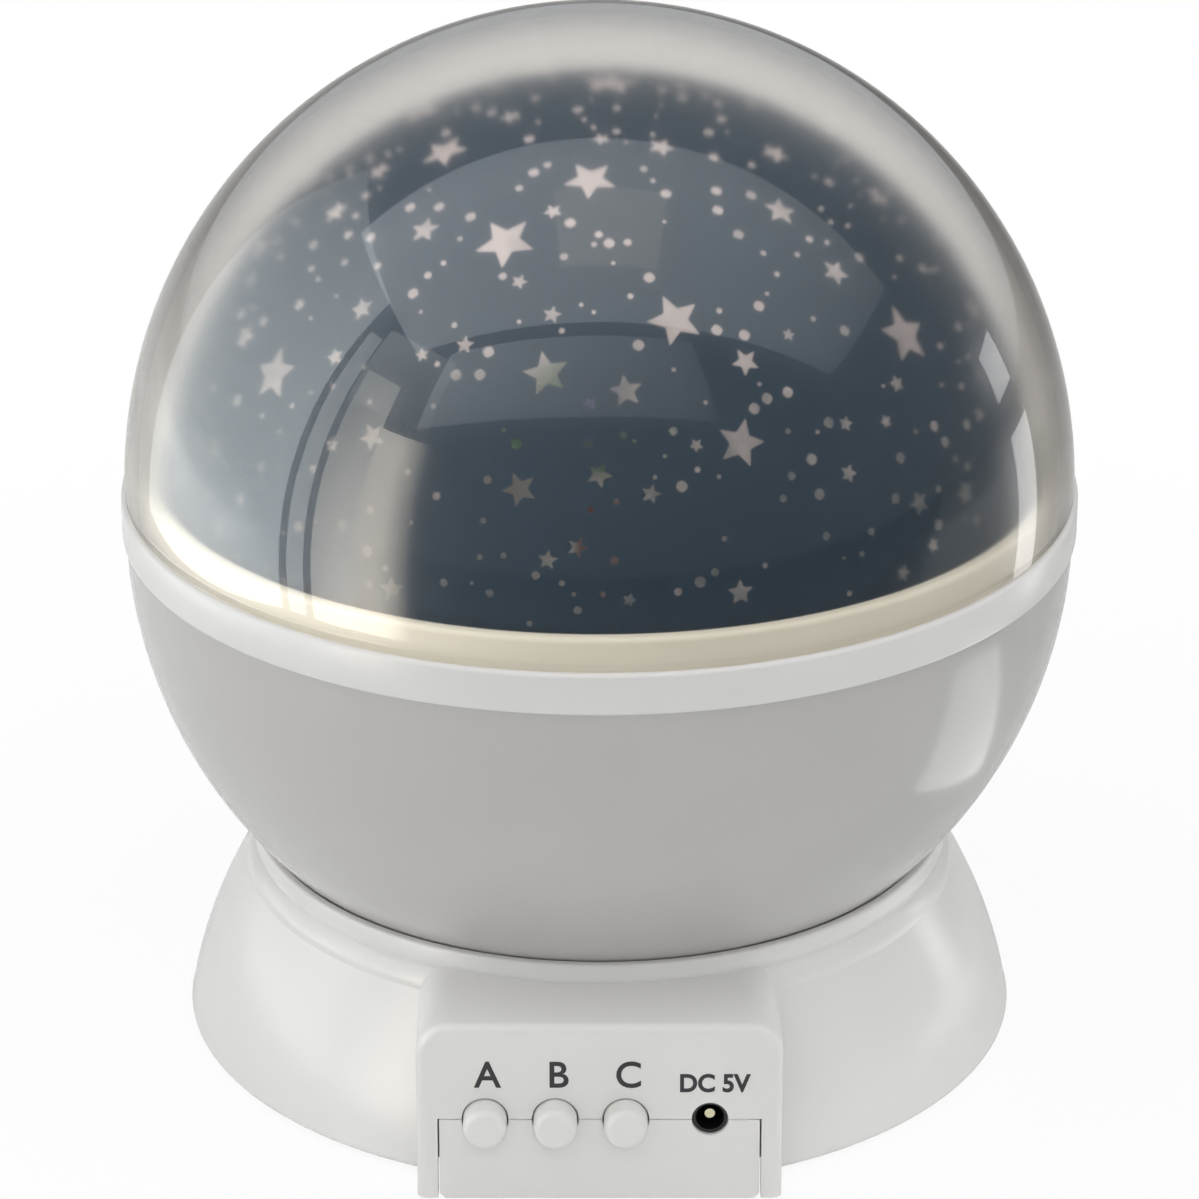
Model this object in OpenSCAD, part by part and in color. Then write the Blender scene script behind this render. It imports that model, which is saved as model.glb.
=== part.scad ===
// Planetarium night-light projector: a star-film globe that turns on a flared base.
// Frame: millimetres, +Z up, origin on the turning axis at the level of the feet,
// and the push-button panel faces -Y.

/* [Globe] */
// Outer radius of the bowl and of the clear cover
ball_r = 62; // [60:0.5:64]
// Height of the white belt between bowl and cover
belt_h = 5.5; // [5:0.5:8]
// How far the belt stands out from the globe
belt_proud = 0.5; // [0.3:0.1:1]
// Wall of the bowl
bowl_wall = 2; // [1.6:0.1:2.4]
// Wall of the clear cover
cover_wall = 1.8; // [1.6:0.1:2.2]
// Air gap between the cover and the star film dome, at the belt
film_gap = 3; // [2.8:0.1:4]
// Wall of the star film dome
film_wall = 1; // [0.8:0.1:1.4]
// How far the film dome's centre lies below the cover's centre
film_drop = 4.3; // [3:0.1:6]
// How far the ivory seat ring rises above the belt
seat_rise = 3.5; // [3:0.1:5]
// Wall of the ivory seat ring
seat_wall = 1.8; // [1.4:0.1:2]

/* [Base] */
// Radius of the base at its lower rim
base_r = 55.5; // [54:0.5:58]
// Radius of the shoulder under the collar
shoulder_r = 47.6; // [47.4:0.1:49]
// Height of the collar's top edge above the feet
base_h = 27.7; // [27.2:0.1:30]
// How far the collar stands up above the shoulder
collar_rise = 2.6; // [2:0.1:3]
// Inner radius of the collar around the bowl
collar_in_r = 45.4; // [45:0.1:45.6]
// Wall of the collar
collar_wall = 1.1; // [1:0.1:1.4]
// Gap between the bowl and the collar
collar_gap = 0.5; // [0.4:0.1:0.8]
// Thickness of the deck that carries the globe
deck_t = 2; // [1.8:0.1:2.4]
// Wall of the base housing
base_wall = 2; // [1.6:0.1:2.2]
// Bulge of the flared side beyond a straight line
flare_bulge = 0.4; // [0.2:0.1:0.8]

/* [Button panel] */
// Width of the panel hood
panel_w = 46.1; // [45:0.1:48]
// How far the panel's face stands out beyond the base's rim
panel_proud = 2.5; // [2.2:0.1:3]
// Height of the hood's top above the feet
panel_top = 25.3; // [24.8:0.1:25.5]
// Radius of the hood's upper corners
panel_corner = 4.2; // [3:0.1:5]
// Width of the snap-in tab that closes the panel's lower half
tab_w = 40.4; // [39.6:0.1:40.8]
// Height of the buttons' and the socket's centre line
button_z = 12.2; // [12:0.1:12.6]
// Place of the first button across the panel
button_x = -14.4; // [-14.8:0.1:-14]
// Distance from one button to the next
button_pitch = 8.85; // [8.7:0.05:9]
// Radius of a button cap
button_r = 2.75; // [2.4:0.05:2.9]
// Clearance around a button cap in its hole
button_gap = 0.2; // [0.1:0.05:0.3]
// How far a button stands out from the panel
button_out = 3.4; // [3:0.1:3.8]
// How far a button travels when pressed
button_travel = 1.8; // [1:0.1:1.8]
// Place of the supply socket across the panel
jack_x = 13.9; // [13.2:0.1:14.4]
// Radius of the socket's nose in the panel
jack_nose_r = 2.2; // [2:0.05:2.4]
// Radius of the socket's hole
jack_bore_r = 1.8; // [1.6:0.05:1.85]
// Radius of the socket's centre pin
jack_pin_r = 0.65; // [0.5:0.05:0.8]

/* [Battery bay] */
// Radius of a battery cell
cell_r = 5.25; // [5:0.05:5.25]
// Length of a battery cell without its button end
cell_l = 43.5; // [43:0.1:43.8]
// Distance from one cell to the next
cell_pitch = 11; // [10.8:0.1:11.2]
// Wall of the battery bay
bay_wall = 1.2; // [1:0.1:1.4]
// Thickness of the battery door
door_t = 1.6; // [1.4:0.1:1.8]
// Thickness of the base cover plate
plate_t = 2; // [1.8:0.1:2.2]

/* [Drive] */
// Module of the drive gear and its pinion
gear_module = 1; // [0.96:0.01:1.02]
// Teeth of the drive gear
gear_teeth = 48; // [46:2:50]
// Teeth of the pinion
pinion_teeth = 14; // [14:2:16]
// Thickness of the drive gear
gear_t = 3.6; // [3:0.1:3.6]
// Clearance between the lamp stem's flange and the drive gear over it
gear_clear = 1.6; // [1.4:0.1:1.8]
// Outer radius of the bowl's hub
hub_r = 13.6; // [13:0.1:14]
// Wall of the bowl's hub
hub_wall = 2.6; // [2.4:0.1:2.8]
// Radius of the gearbox's output shaft
shaft_r = 1.5; // [1.2:0.1:1.6]

/* [Lamp] */
// Height of the lamp board's upper face above the feet
lamp_z = 83; // [78:0.5:86]
// Radius of the lamp board
lamp_board_r = 12.5; // [11:0.5:14]
// Outer radius of the lamp stem
stem_r = 7.5; // [7:0.1:8]
// Radius of the wire duct inside the lamp stem
duct_r = 5.5; // [5.2:0.1:5.8]
// Radius of a lamp bulb
led_r = 2.5; // [2:0.1:2.8]
// Distance of each bulb from the axis
led_ring_r = 5.6; // [5:0.1:6.4]

/* [Feet and screws] */
// How far the rubber feet stand out below the base's rim
foot_out = 0.8; // [0.6:0.1:1]
// Radius of a rubber foot
foot_r = 4; // [3:0.1:5]
// Distance of the feet's centres from the base's rim
foot_inset = 9.5; // [9:0.5:10.5]
// Radius of a screw's shank
screw_r = 1.2; // [1:0.1:1.3]
// Radius of a screw's head
screw_head_r = 2.3; // [2:0.1:2.4]
// Thickness of a screw's head
screw_head_t = 1.1; // [0.9:0.1:1.1]
// Distance of the base screws from the axis
screw_ring_r = 42.5; // [42:0.1:43]
// Radius of an insulated wire
wire_r = 0.5; // [0.4:0.05:0.55]

/* [Hidden] */
$fn = 96;
eps = 0.01;        // overlap that makes a cut clean
fit = 0.05;        // radial clearance of a running fit
snug = 0.2;        // clearance between parts that are screwed or snapped together
loose = 0.3;       // clearance between parts that are assembled by hand

// Levels of the base, stacked from the rim up: cover plate, battery bay, flange of the lamp
// stem, drive gear, deck
rim_z = foot_out;
plate_rise = 0.4;
plate_z = rim_z + plate_rise;
plate_top = plate_z + plate_t;
door_top = plate_z + door_t;
cell_z = door_top + loose + cell_r;
cell_room = 0.4;
bay_top = cell_z + cell_r + cell_room;
bay_roof = bay_top + bay_wall;
stem_flange_t = 1.6;
gear_low = bay_roof + stem_flange_t + gear_clear;
gear_gap = 0.4;
deck_low = gear_low + gear_t + gear_gap;
deck_top = deck_low + deck_t;
shoulder_z = base_h - collar_rise;
shoulder_round = 0.9;
collar_out_r = collar_in_r + collar_wall;
collar_edge = 0.35;
flare_steps = 10;
post_r = 3.4;
post_hole_h = 10;
foot_ring_r = base_r - foot_inset;
foot_sink = 0.8;

// Hub and bush
bush_flange_t = 0.8;
bush_flange_w = 4;
bush_wall = 1.5;
bush_in_r = hub_r + fit;
bush_out_r = bush_in_r + bush_wall;
bush_flange_r = bush_out_r + bush_flange_w;
hub_bore_r = hub_r - hub_wall;
hub_rise = 4;
hub_flange_w = 3;
hub_flange_t = 1.5;

// Globe levels
floor_z = deck_top + bush_flange_t;
belt_drop = 0.4;
cover_rise = 0.3;
bowl_cz = base_h + sqrt(pow(ball_r, 2) - pow(collar_in_r - collar_gap, 2));
belt_z = bowl_cz - belt_drop;
belt_top = belt_z + belt_h;
cover_cz = belt_top + cover_rise;
cover_in_r = ball_r - cover_wall;
film_r = cover_in_r - film_gap;
film_cz = cover_cz - film_drop;

// Joint between belt, cover and seat ring
spigot_wall = 1;
spigot_h = 2;
belt_out_r = ball_r + belt_proud;
belt_edge = 0.4;
belt_step = 1;
cover_groove_in = cover_in_r - loose;
cover_groove_out = cover_in_r + spigot_wall + loose;
belt_step_z = belt_top - belt_step;
belt_in_r = cover_groove_in - 2.3;
bowl_in_r = ball_r - bowl_wall;
belt_skirt_h = 3;
belt_skirt_wall = 1.2;
belt_skirt_r = sqrt(pow(bowl_in_r, 2) - pow(belt_drop + belt_skirt_h, 2)) - loose;
seat_ledge_t = 1.6;
seat_edge = 0.4;
seat_floor_z = belt_step_z + seat_ledge_t;
seat_in_r = film_r + 0.15;
seat_out_r = seat_in_r + seat_wall;
seat_ledge_in = film_r - 3.7;
seat_skirt_r = belt_in_r - snug;
seat_skirt_h = 2.5;
seat_skirt_wall = 1.3;

// Panel
panel_front = base_r + panel_proud;
panel_back = 38;
panel_edge = 1.2;
face_t = 2;
face_in = panel_front - face_t;
hood_in_w = panel_w - 2 * base_wall;
split_gap = 0.1;
tab_notch = 0.7;
hole_r = button_r + button_gap;
jack_hole_r = jack_nose_r + 0.1;
buttons = [for (i = [0:2]) button_x + i * button_pitch];

// Switches, from the panel inwards
cap_edge = 0.5;
cap_flange_r = button_r + 0.65;
cap_flange_t = 1;
cap_back = face_in - snug - cap_flange_t;
cap_bore_depth = 2.7;
plunger_r = 1.5;
plunger_in = 4.5;
switch_w = 8.4;
switch_l = 9;
switch_room = 0.5;
switch_front = cap_back - button_travel - switch_room;
board_t = 1.6;
board_top = button_z - switch_w / 2 - 0.1;
board_low = board_top - board_t;
board_w = 40.2;
board_front = switch_front + 1.5;
board_back = 31;
board_post_r = 2.4;
board_screw_x = 17.4;
board_screw_y = board_back + 5.2;
chip_x = 11;
chip_y = board_back + 3.4;
chip_l = 5;
chip_w = 4;
chip_h = 1.5;
chip_stand = 0.15;
chip_pitch = 1.27;
chip_leg_w = 0.4;
chip_leg_l = 1;
chip_leg_t = 0.3;
capacitor_x = 9.5;
capacitor_r = 2.5;
capacitor_h = 6.5;
jack_w = 7.4;
jack_front = face_in - snug;
jack_l = 10.8;
jack_nose_out = 1.7;
jack_bore_l = 9;
jack_pin_l = 8;

// Battery bay, set a little to the back of the axis
bay_shift = 1;
bay_w = 4 * cell_pitch + 0.6;
bay_l = cell_l + 6.5;
bay_y0 = bay_shift - bay_l / 2;
bay_y1 = bay_shift + bay_l / 2;
bay_boss_r = 1.8;
bay_boss_drop = 1.5;
rebate = 0.8;
nub_r = 1.9;
nub_l = 1;
contact_t = 0.3;
contact_w = 8;
contact_h = 9;
contact_reach = 1.4;
stud_r = 1.5;
terminal_w = 1.6;
terminal_t = 0.4;
terminal_out = 1.2;
spring_wire = 0.35;
spring_turns = 3.5;
spring_r = 3.6;
spring_taper = 1.5;
cell_y0 = bay_y0 + contact_reach;
cell_y1 = bay_y1 - contact_reach;
cells = [for (i = [0:3]) (i - 1.5) * cell_pitch];

// Door tongues, lug and screw
tongue_x = 12;
tongue_w = 6;
tongue_l = 1.4;
tongue_t = 0.8;
lug_w = 8.8;
lug_l = 6.6;
lug_t = 2.4;
lug_wall = 1.2;
lug_y = bay_y1 + rebate + lug_l;
door_screw_y = bay_y1 + rebate + 3;
door_screw_l = 5.4;
door_screw_play = 0.4;
cover_screw_l = 8;
tower_h = 6.6;

// Drive train
gear_pitch_r = gear_module * gear_teeth / 2;
pinion_pitch_r = gear_module * pinion_teeth / 2;
drive_x = gear_pitch_r + pinion_pitch_r;
pinion_inset = 0.2;
pinion_t = gear_t - 2 * pinion_inset;
pinion_low = gear_low + pinion_inset;
gearbox_w = 12;
gearbox_l = 14;
gearbox_low = plate_top + 1;
gearbox_gap = 1.6;
gearbox_top = gear_low - gearbox_gap;
gearbox_neck_r = 3.5;
gearbox_neck_h = 1;
gearbox_floor = 2;
motor_r = 6;
motor_flat = 5;
motor_l = 15;
motor_cap_r = 2.2;
motor_cap_t = 0.8;
motor_z = gearbox_low + 6.2;
clamp_t = 1.2;
clamp_w = 5;
clamp_foot = 5;
clamp_gap = 0.1;
clamp_lap = 3;
clamp_y = gearbox_l / 2 + motor_l / 2;
clamp_in = motor_r + clamp_gap;
clamp_foot_z = motor_z - 2;
rest_l = 10;
rest_w = 6;
rest_post_r = 1.9;
shaft_end = 0.8;
shaft_room = 0.2;
ear_z = gearbox_low + 4;
ear_t = 1.6;
ear_l = 5;
ear_w = 6;
clamp_screw_x = drive_x + clamp_in + clamp_t + clamp_foot / 2;
ear_screw_x = drive_x + gearbox_w / 2 + ear_l / 2;
gear_screw_count = 3;
gear_screw_ring_r = (hub_r + hub_bore_r) / 2;
gear_screw_sink = 1.1;
gear_screw_l = 6;
motor_screw_l = 5.4;
small_screw_r = 0.8;
small_head_r = 1.5;
small_head_t = 0.9;
hub_head_r = 1.15;

// Lamp
stem_flange_r = 13;
lamp_board_t = 1.6;
stem_head_r = 10.4;
stem_head_t = 3;
stem_cup_r = 7;
stem_cup_depth = 1.4;
lamp_screw_ring_r = 8.8;
stem_top = lamp_z - lamp_board_t;
wire_slot_w = 6.6;
wire_slot_h = 3;
window_h = 16;
window_w = 6;
led_base = lamp_z + 1;
led_h = 5.6;
led_flange = 0.4;
led_pitch = 1.27;
led_leg_r = 0.25;

// Wires and their pads along the board's back edge
wire_sides = 8;
solder_h = 0.6;
solder_w = 0.3;
lead_z = board_top + solder_h / 2;
pad_y = board_back + 1.6;
motor_pad_x = board_w / 2 - 1.1;
motor_pads = [board_back + 1.2, board_back + 2.9];
led_wires = [-2.4, -1.2, 0, 1.2, 2.4];
led_fan = 1.6;
led_wire_y = 1.6;

// ---------- shared shapes ----------

// Radius of the flared side at height z: a straight line with a parabolic bulge
function flare_r(z) =
    let (t = (z - rim_z) / (shoulder_z - shoulder_round - rim_z))
    base_r + (shoulder_r - base_r) * t + 4 * flare_bulge * t * (1 - t);

// Ring of rectangular section between two radii and two heights
module ring(r_in, r_out, z0, z1) {
    translate([0, 0, z0]) difference() {
        cylinder(r = r_out, h = z1 - z0);
        translate([0, 0, -eps]) cylinder(r = r_in, h = z1 - z0 + 2 * eps);
    }
}

// Cylinder along -Y, from depth y0 to depth y1 in front of the axis
module bar_y(r, y0, y1) {
    translate([0, -y1, 0]) rotate([-90, 0, 0]) cylinder(r = r, h = y1 - y0);
}

// Part of a hollow sphere between two heights
module shell_band(r_out, r_in, cz, z0, z1) {
    difference() {
        intersection() {
            translate([0, 0, cz]) sphere(r = r_out);
            translate([0, 0, z0]) cylinder(r = r_out + 1, h = z1 - z0);
        }
        translate([0, 0, cz]) sphere(r = r_in);
    }
}

// Upright outline with two rounded upper corners
module arch_2d(w, h, r) {
    translate([-w / 2, 0]) square([w, h - r]);
    translate([-w / 2 + r, 0]) square([w - 2 * r, h]);
    for (s = [-1, 1]) translate([s * (w / 2 - r), h - r]) circle(r = r);
}

// The arch drawn in X and Z and run from depth y0 to depth y1 in front of the axis
module arch_block(w, h, r, y0, y1) {
    translate([0, -y0, 0]) rotate([90, 0, 0]) linear_extrude(y1 - y0) arch_2d(w, h, r);
}

// The same block with the edges around its front face rounded to radius e
module soft_arch_block(w, h, r, y0, y1, e) {
    intersection() {
        arch_block(w, h, r, y0, y1);
        mirror([0, 1, 0]) translate([0, y0, -1]) linear_extrude(h + 2) arch_2d(w, y1 - y0, e);
        rotate([90, 0, 90]) translate([0, 0, -w / 2 - 1]) linear_extrude(w + 2) union() {
            translate([-y1, -1]) square([y1 - y0, h + 1 - e]);
            translate([-y1 + e, -1]) square([y1 - y0 - e, h + 1]);
            translate([-y1 + e, h - e]) circle(r = e);
        }
    }
}

// Box centred on X, between two depths and two heights
module slab(w, y0, y1, z0, z1) {
    translate([-w / 2, y0, z0]) cube([w, y1 - y0, z1 - z0]);
}

// Screw that points up, with the underside of its head at z = 0
module screw(shank_r, head_r, head_t, length) {
    translate([0, 0, -head_t / 2]) cylinder(r = shank_r, h = length + head_t / 2);
    difference() {
        translate([0, 0, -head_t]) cylinder(r = head_r, h = head_t);
        for (a = [0, 90]) rotate(a)
            translate([-head_r * 0.6, -0.2, -head_t - eps]) cube([head_r * 1.2, 0.4, head_t * 0.4]);
    }
}

// Places a child at the four base screws
module at_base_screws() {
    for (a = [45:90:315]) rotate(a) translate([screw_ring_r, 0, 0]) children();
}

// Places a child at the four feet
module at_feet() {
    for (a = [0:90:270]) rotate(a) translate([foot_ring_r, 0, 0]) children();
}

// Direction of a path at its point i
function path_dir(p, i) =
    let (d = p[min(i + 1, len(p) - 1)] - p[max(i - 1, 0)]) d / norm(d);

// Point of a smooth curve through path p at parameter t, from 0 to len(p) - 1
function smooth_point(p, t) =
    let (n = len(p) - 1, i = min(floor(t), n - 1), f = t - i,
         a = p[i], b = p[i + 1],
         ta = (b - p[max(i - 1, 0)]) / 2, tb = (p[min(i + 2, n)] - a) / 2)
    a * (1 - 3 * f * f + 2 * f * f * f) + ta * (f - 2 * f * f + f * f * f)
    + b * (3 * f * f - 2 * f * f * f) + tb * (f * f * f - f * f);

// Tube of radius r with its centre line on path p
module tube(p, r, sides = wire_sides, side = [1, 0, 0]) {
    rings = [for (i = [0:len(p) - 1])
        let (d = path_dir(p, i), u0 = side - (side * d) * d, u = u0 / norm(u0), v = cross(d, u))
        [for (k = [0:sides - 1]) p[i] + r * (cos(360 * k / sides) * u + sin(360 * k / sides) * v)]];
    last = len(p) - 1;
    polyhedron(
        points = [for (q = rings) each q],
        faces = [
            [for (k = [0:sides - 1]) k],
            [for (k = [sides - 1:-1:0]) last * sides + k],
            for (i = [0:last - 1], k = [0:sides - 1])
                let (m = (k + 1) % sides)
                each [[i * sides + k, (i + 1) * sides + k, (i + 1) * sides + m],
                      [i * sides + k, (i + 1) * sides + m, i * sides + m]]
        ]);
}

// Wire through the points of a route, smoothed with the given steps between points
module wire(route, steps = 3) {
    tube([for (t = [0:1 / steps:len(route) - 1 + eps]) smooth_point(route, min(t, len(route) - 1))], wire_r);
}

// Blob of solder on the control board, where a wire ends
module solder(x, y) {
    translate([x, y, board_top]) cylinder(r = wire_r + solder_w, h = solder_h);
}

// ---------- gears ----------

pressure_angle = 20;
function involute_deg(a) = tan(a) * 180 / PI - a;

// Half of a tooth's angle at radius r, for a gear of the given pitch radius and tooth count
function tooth_half(r, pitch_r, teeth, slack) =
    let (base = pitch_r * cos(pressure_angle), a = acos(min(1, base / r)))
    90 / teeth - slack + involute_deg(pressure_angle) - involute_deg(a);

// Spur gear outline with its tooth 0 centred on +X; slack is the backlash in degrees a flank
module gear_2d(pitch_r, teeth, tip, slack) {
    root_r = pitch_r - 1.25 * gear_module;
    tip_r = pitch_r + tip * gear_module;
    flank = [root_r, pitch_r - 0.75 * gear_module, pitch_r - 0.3 * gear_module, pitch_r, tip_r];
    polygon([for (i = [0:teeth - 1]) each concat(
        [for (r = flank)
            let (a = 360 * i / teeth - tooth_half(r, pitch_r, teeth, slack)) r * [cos(a), sin(a)]],
        [for (k = [len(flank) - 1:-1:0])
            let (r = flank[k], a = 360 * i / teeth + tooth_half(r, pitch_r, teeth, slack))
            r * [cos(a), sin(a)]])]);
}

gear_tip = 0.8;
gear_slack = 0.35;
pinion_slack = 1.2;

// ---------- base ----------

// Section of the housing: flared side, shoulder, collar and deck
module housing_2d() {
    outer_top = shoulder_z - shoulder_round;
    round_w = min(shoulder_round, shoulder_r - collar_out_r - 0.1);
    polygon(concat(
        [for (i = [0:flare_steps])
            let (z = rim_z + (outer_top - rim_z) * i / flare_steps) [flare_r(z), z]],
        [for (a = [15:15:90])
            [shoulder_r - round_w * (1 - cos(a)), outer_top + shoulder_round * sin(a)]],
        [[collar_out_r, shoulder_z],
         [collar_out_r, base_h - collar_edge], [collar_out_r - collar_edge, base_h],
         [collar_in_r + collar_edge, base_h], [collar_in_r, base_h - collar_edge],
         [collar_in_r, deck_top], [bush_out_r + fit, deck_top], [bush_out_r + fit, deck_low],
         [flare_r(deck_low) - base_wall, deck_low]],
        [for (i = [flare_steps:-1:0])
            let (z = rim_z + (deck_low - rim_z) * i / flare_steps)
            if (i < flare_steps) [flare_r(z) - base_wall, z]]));
}

// Section of the space inside the housing, below the deck
module inside_2d() {
    top = deck_low + eps;
    polygon(concat([[0, 0], [0, top], [flare_r(top) - base_wall - eps, top]],
        [for (i = [flare_steps:-1:0])
            let (z = rim_z + (deck_low - rim_z) * i / flare_steps)
            [flare_r(z) - base_wall + (i == flare_steps ? -eps : 0), z]],
        [[flare_r(rim_z) - base_wall, 0]]));
}

// Holes of the three buttons and of the socket, through the panel and the tab
module panel_holes() {
    for (x = buttons) translate([x, 0, button_z]) bar_y(hole_r, face_in - 1, panel_front + 1);
    translate([jack_x, 0, button_z]) bar_y(jack_hole_r, face_in - 1, panel_front + 1);
}

module base_housing() {
    color("white") difference() {
        union() {
            difference() {
                union() {
                    rotate_extrude() housing_2d();
                    difference() {
                        translate([0, 0, rim_z]) soft_arch_block(panel_w, panel_top - rim_z,
                            panel_corner, panel_back, panel_front, panel_edge);
                        translate([0, 0, deck_top]) cylinder(r = collar_in_r, h = base_h);
                        rotate_extrude() inside_2d();
                    }
                }
                translate([0, 0, rim_z - 1]) arch_block(hood_in_w, deck_low - rim_z + 1,
                    panel_corner - base_wall + 0.5, panel_back - 4, face_in);
            }
            at_base_screws() translate([0, 0, plate_top])
                cylinder(r = post_r, h = deck_low - plate_top + deck_t / 5);
        }
        slab(tab_w + 2 * snug, -panel_front - 1, -face_in + eps, rim_z - 1, button_z);
        panel_holes();
        at_base_screws() translate([0, 0, plate_top - 1]) cylinder(r = screw_r + fit, h = post_hole_h + 1);
        translate([drive_x, 0, deck_low - 1]) cylinder(r = shaft_r + fit, h = 1 + shaft_end + shaft_room);
    }
}

// Places of the battery door's tongues
module at_tongues() {
    for (s = [-1, 1]) translate([s * tongue_x, 0, 0]) children();
}

module base_cover() {
    plate_r = flare_r(plate_top) - base_wall - loose;
    color("whitesmoke") difference() {
        union() {
            translate([0, 0, plate_z]) cylinder(r = plate_r, h = plate_t);
            slab(tab_w, -face_in - eps, -panel_back, plate_z, plate_top);
            slab(tab_w, -panel_front, -face_in, rim_z, button_z - split_gap);
            slab(bay_w + 2 * bay_wall, bay_y0 - bay_wall, bay_y1 + bay_wall, plate_z, bay_roof);
            slab(lug_w + 2 * lug_wall, bay_y1, lug_y + snug + lug_wall, plate_z, plate_top + tower_h);
            for (s = [-1, 1]) translate([s * board_screw_x, -board_screw_y, plate_top - eps])
                cylinder(r = board_post_r, h = board_low - plate_top + eps);
            motor_rests();
        }
        difference() {
            slab(bay_w, bay_y0, bay_y1, plate_z - 1, bay_top);
            at_stem_screws() translate([0, 0, bay_top - bay_boss_drop])
                cylinder(r = bay_boss_r, h = bay_wall + 2);
        }
        slab(bay_w + 2 * rebate, bay_y0 - rebate, bay_y1 + rebate, plate_z - 1, door_top);
        slab(lug_w, bay_y1, lug_y + snug, plate_z - 1, plate_z + lug_t + snug);
        translate([0, door_screw_y, plate_z])
            cylinder(r = screw_r + door_screw_play, h = tower_h + plate_t - 1);
        at_tongues() slab(tongue_w + 2 * snug, bay_y0 - rebate - tongue_l - loose, bay_y0 + eps,
                          door_top - tongue_t - 0.1, door_top + 1);
        at_stem_screws() translate([0, 0, bay_top - 2]) cylinder(r = small_screw_r + fit, h = bay_wall + 4);
        at_base_screws() screw_seat();
        at_feet() translate([0, 0, plate_z - 1]) cylinder(r = foot_r + 0.1, h = foot_sink + 1);
        panel_holes();
        for (s = [-1, 1]) {
            translate([s * tab_w / 2, -panel_front - 1, rim_z]) rotate([-90, 0, 0])
                cylinder(r = tab_notch, h = face_t + 1 + eps, $fn = 4);
            translate([s * board_screw_x, -board_screw_y, plate_top])
                cylinder(r = small_screw_r + fit, h = board_low);
            translate([s * 1.5 * cell_pitch, bay_y0 + eps, cell_z])
                rotate([90, 0, 0]) cylinder(r = terminal_w / 2 + snug, h = bay_wall + 1);
        }
        at_motor_screws() translate([0, 0, -motor_screw_l - 0.5])
            cylinder(r = small_screw_r + fit, h = motor_screw_l + 2);
    }
}

// Seat of a screw's head in the underside of the cover plate or the door
module screw_seat() {
    translate([0, 0, plate_z - 1]) cylinder(r = screw_r + snug, h = plate_t + 2);
    translate([0, 0, plate_z - 1]) cylinder(r = screw_head_r + snug, h = 1 + screw_head_t + 0.1);
}

// Places a child on the clamp's foot and on the gearbox's ear, at the level of their tops
module at_motor_screws() {
    translate([clamp_screw_x, -clamp_y, clamp_foot_z + clamp_t]) children();
    translate([ear_screw_x, 0, ear_z + ear_t]) children();
}

// Cradle ribs and clamp pillars that carry the gear motor
module motor_rests() {
    translate([drive_x, 0, 0]) {
        slab(gearbox_w - 2, -rest_l / 2, rest_l / 2, plate_top - eps, gearbox_low);
        slab(rest_w, -clamp_y - rest_w / 2, -clamp_y + rest_w / 2, plate_top - eps, motor_z - motor_flat);
    }
    translate([clamp_screw_x, -clamp_y, plate_top - eps])
        cylinder(r = rest_post_r, h = clamp_foot_z - plate_top + eps);
    translate([ear_screw_x, 0, plate_top - eps]) cylinder(r = rest_post_r, h = ear_z - plate_top + eps);
}

module rubber_feet() {
    color("dimgray") at_feet() cylinder(r = foot_r, h = plate_z + foot_sink);
}

module cover_screws() {
    color("silver") at_base_screws() translate([0, 0, plate_z + screw_head_t + 0.1])
        screw(screw_r, screw_head_r, screw_head_t, cover_screw_l);
}

// ---------- battery bay ----------

module battery_door() {
    color("whitesmoke") difference() {
        union() {
            slab(bay_w + 2 * (rebate - snug), bay_y0 - rebate + snug, bay_y1 + rebate - snug,
                 plate_z, door_top);
            at_tongues() slab(tongue_w, bay_y0 - rebate - tongue_l, bay_y0 - rebate + 1,
                              door_top - tongue_t, door_top);
            slab(lug_w - 2 * snug, bay_y1, lug_y - snug, plate_z, plate_z + lug_t);
        }
        translate([0, door_screw_y, 0]) screw_seat();
    }
}

module door_screw() {
    color("silver") translate([0, door_screw_y, plate_z + screw_head_t + 0.1])
        screw(screw_r, screw_head_r, screw_head_t, door_screw_l);
}

// One cell; front is 1 where its button end faces the panel
module battery_cell(x, front) {
    color("olivedrab") translate([x, 0, cell_z]) {
        y0 = front ? cell_y0 + nub_l : cell_y1 - nub_l - cell_l;
        translate([0, y0, 0]) rotate([-90, 0, 0]) cylinder(r = cell_r, h = cell_l);
        translate([0, front ? y0 - nub_l : y0 + cell_l, 0])
            rotate([-90, 0, 0]) cylinder(r = nub_r, h = nub_l);
    }
}

// A conical spring on a cell's flat end, from the contact plate to the cell
module contact_spring(y_plate, y_cell) {
    turns = 24;
    steps = round(spring_turns * turns / 2);
    run = y_cell - y_plate;
    s = sign(run);
    color("silver") tube([for (i = [0:steps])
        let (t = i / steps, a = 360 * spring_turns * t, r = spring_r - spring_taper * t)
        [r * cos(a), y_plate + s * spring_wire + (run - 2 * s * spring_wire) * t, r * sin(a)]],
        spring_wire, 6, [0, 1, 0]);
}

module battery_springs() {
    flat_front = cell_y1 - nub_l - cell_l;
    flat_back = cell_y0 + nub_l + cell_l;
    for (i = [0:3]) translate([cells[i], 0, cell_z])
        if (i % 2 == 0) contact_spring(bay_y1 - contact_t, flat_back);
        else contact_spring(bay_y0 + contact_t, flat_front);
}

// Sheet contact on a bay wall, spanning the cells from i to j
module contact_sheet(i, j, y0) {
    translate([cells[i] - contact_w / 2, y0, cell_z - contact_h / 2])
        cube([cells[j] - cells[i] + contact_w, contact_t, contact_h]);
}

// Raised stud that meets a cell's button end
module contact_stud(i, y0, y1) {
    translate([cells[i], y0, cell_z]) rotate([-90, 0, 0]) cylinder(r = stud_r, h = y1 - y0);
}

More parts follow.
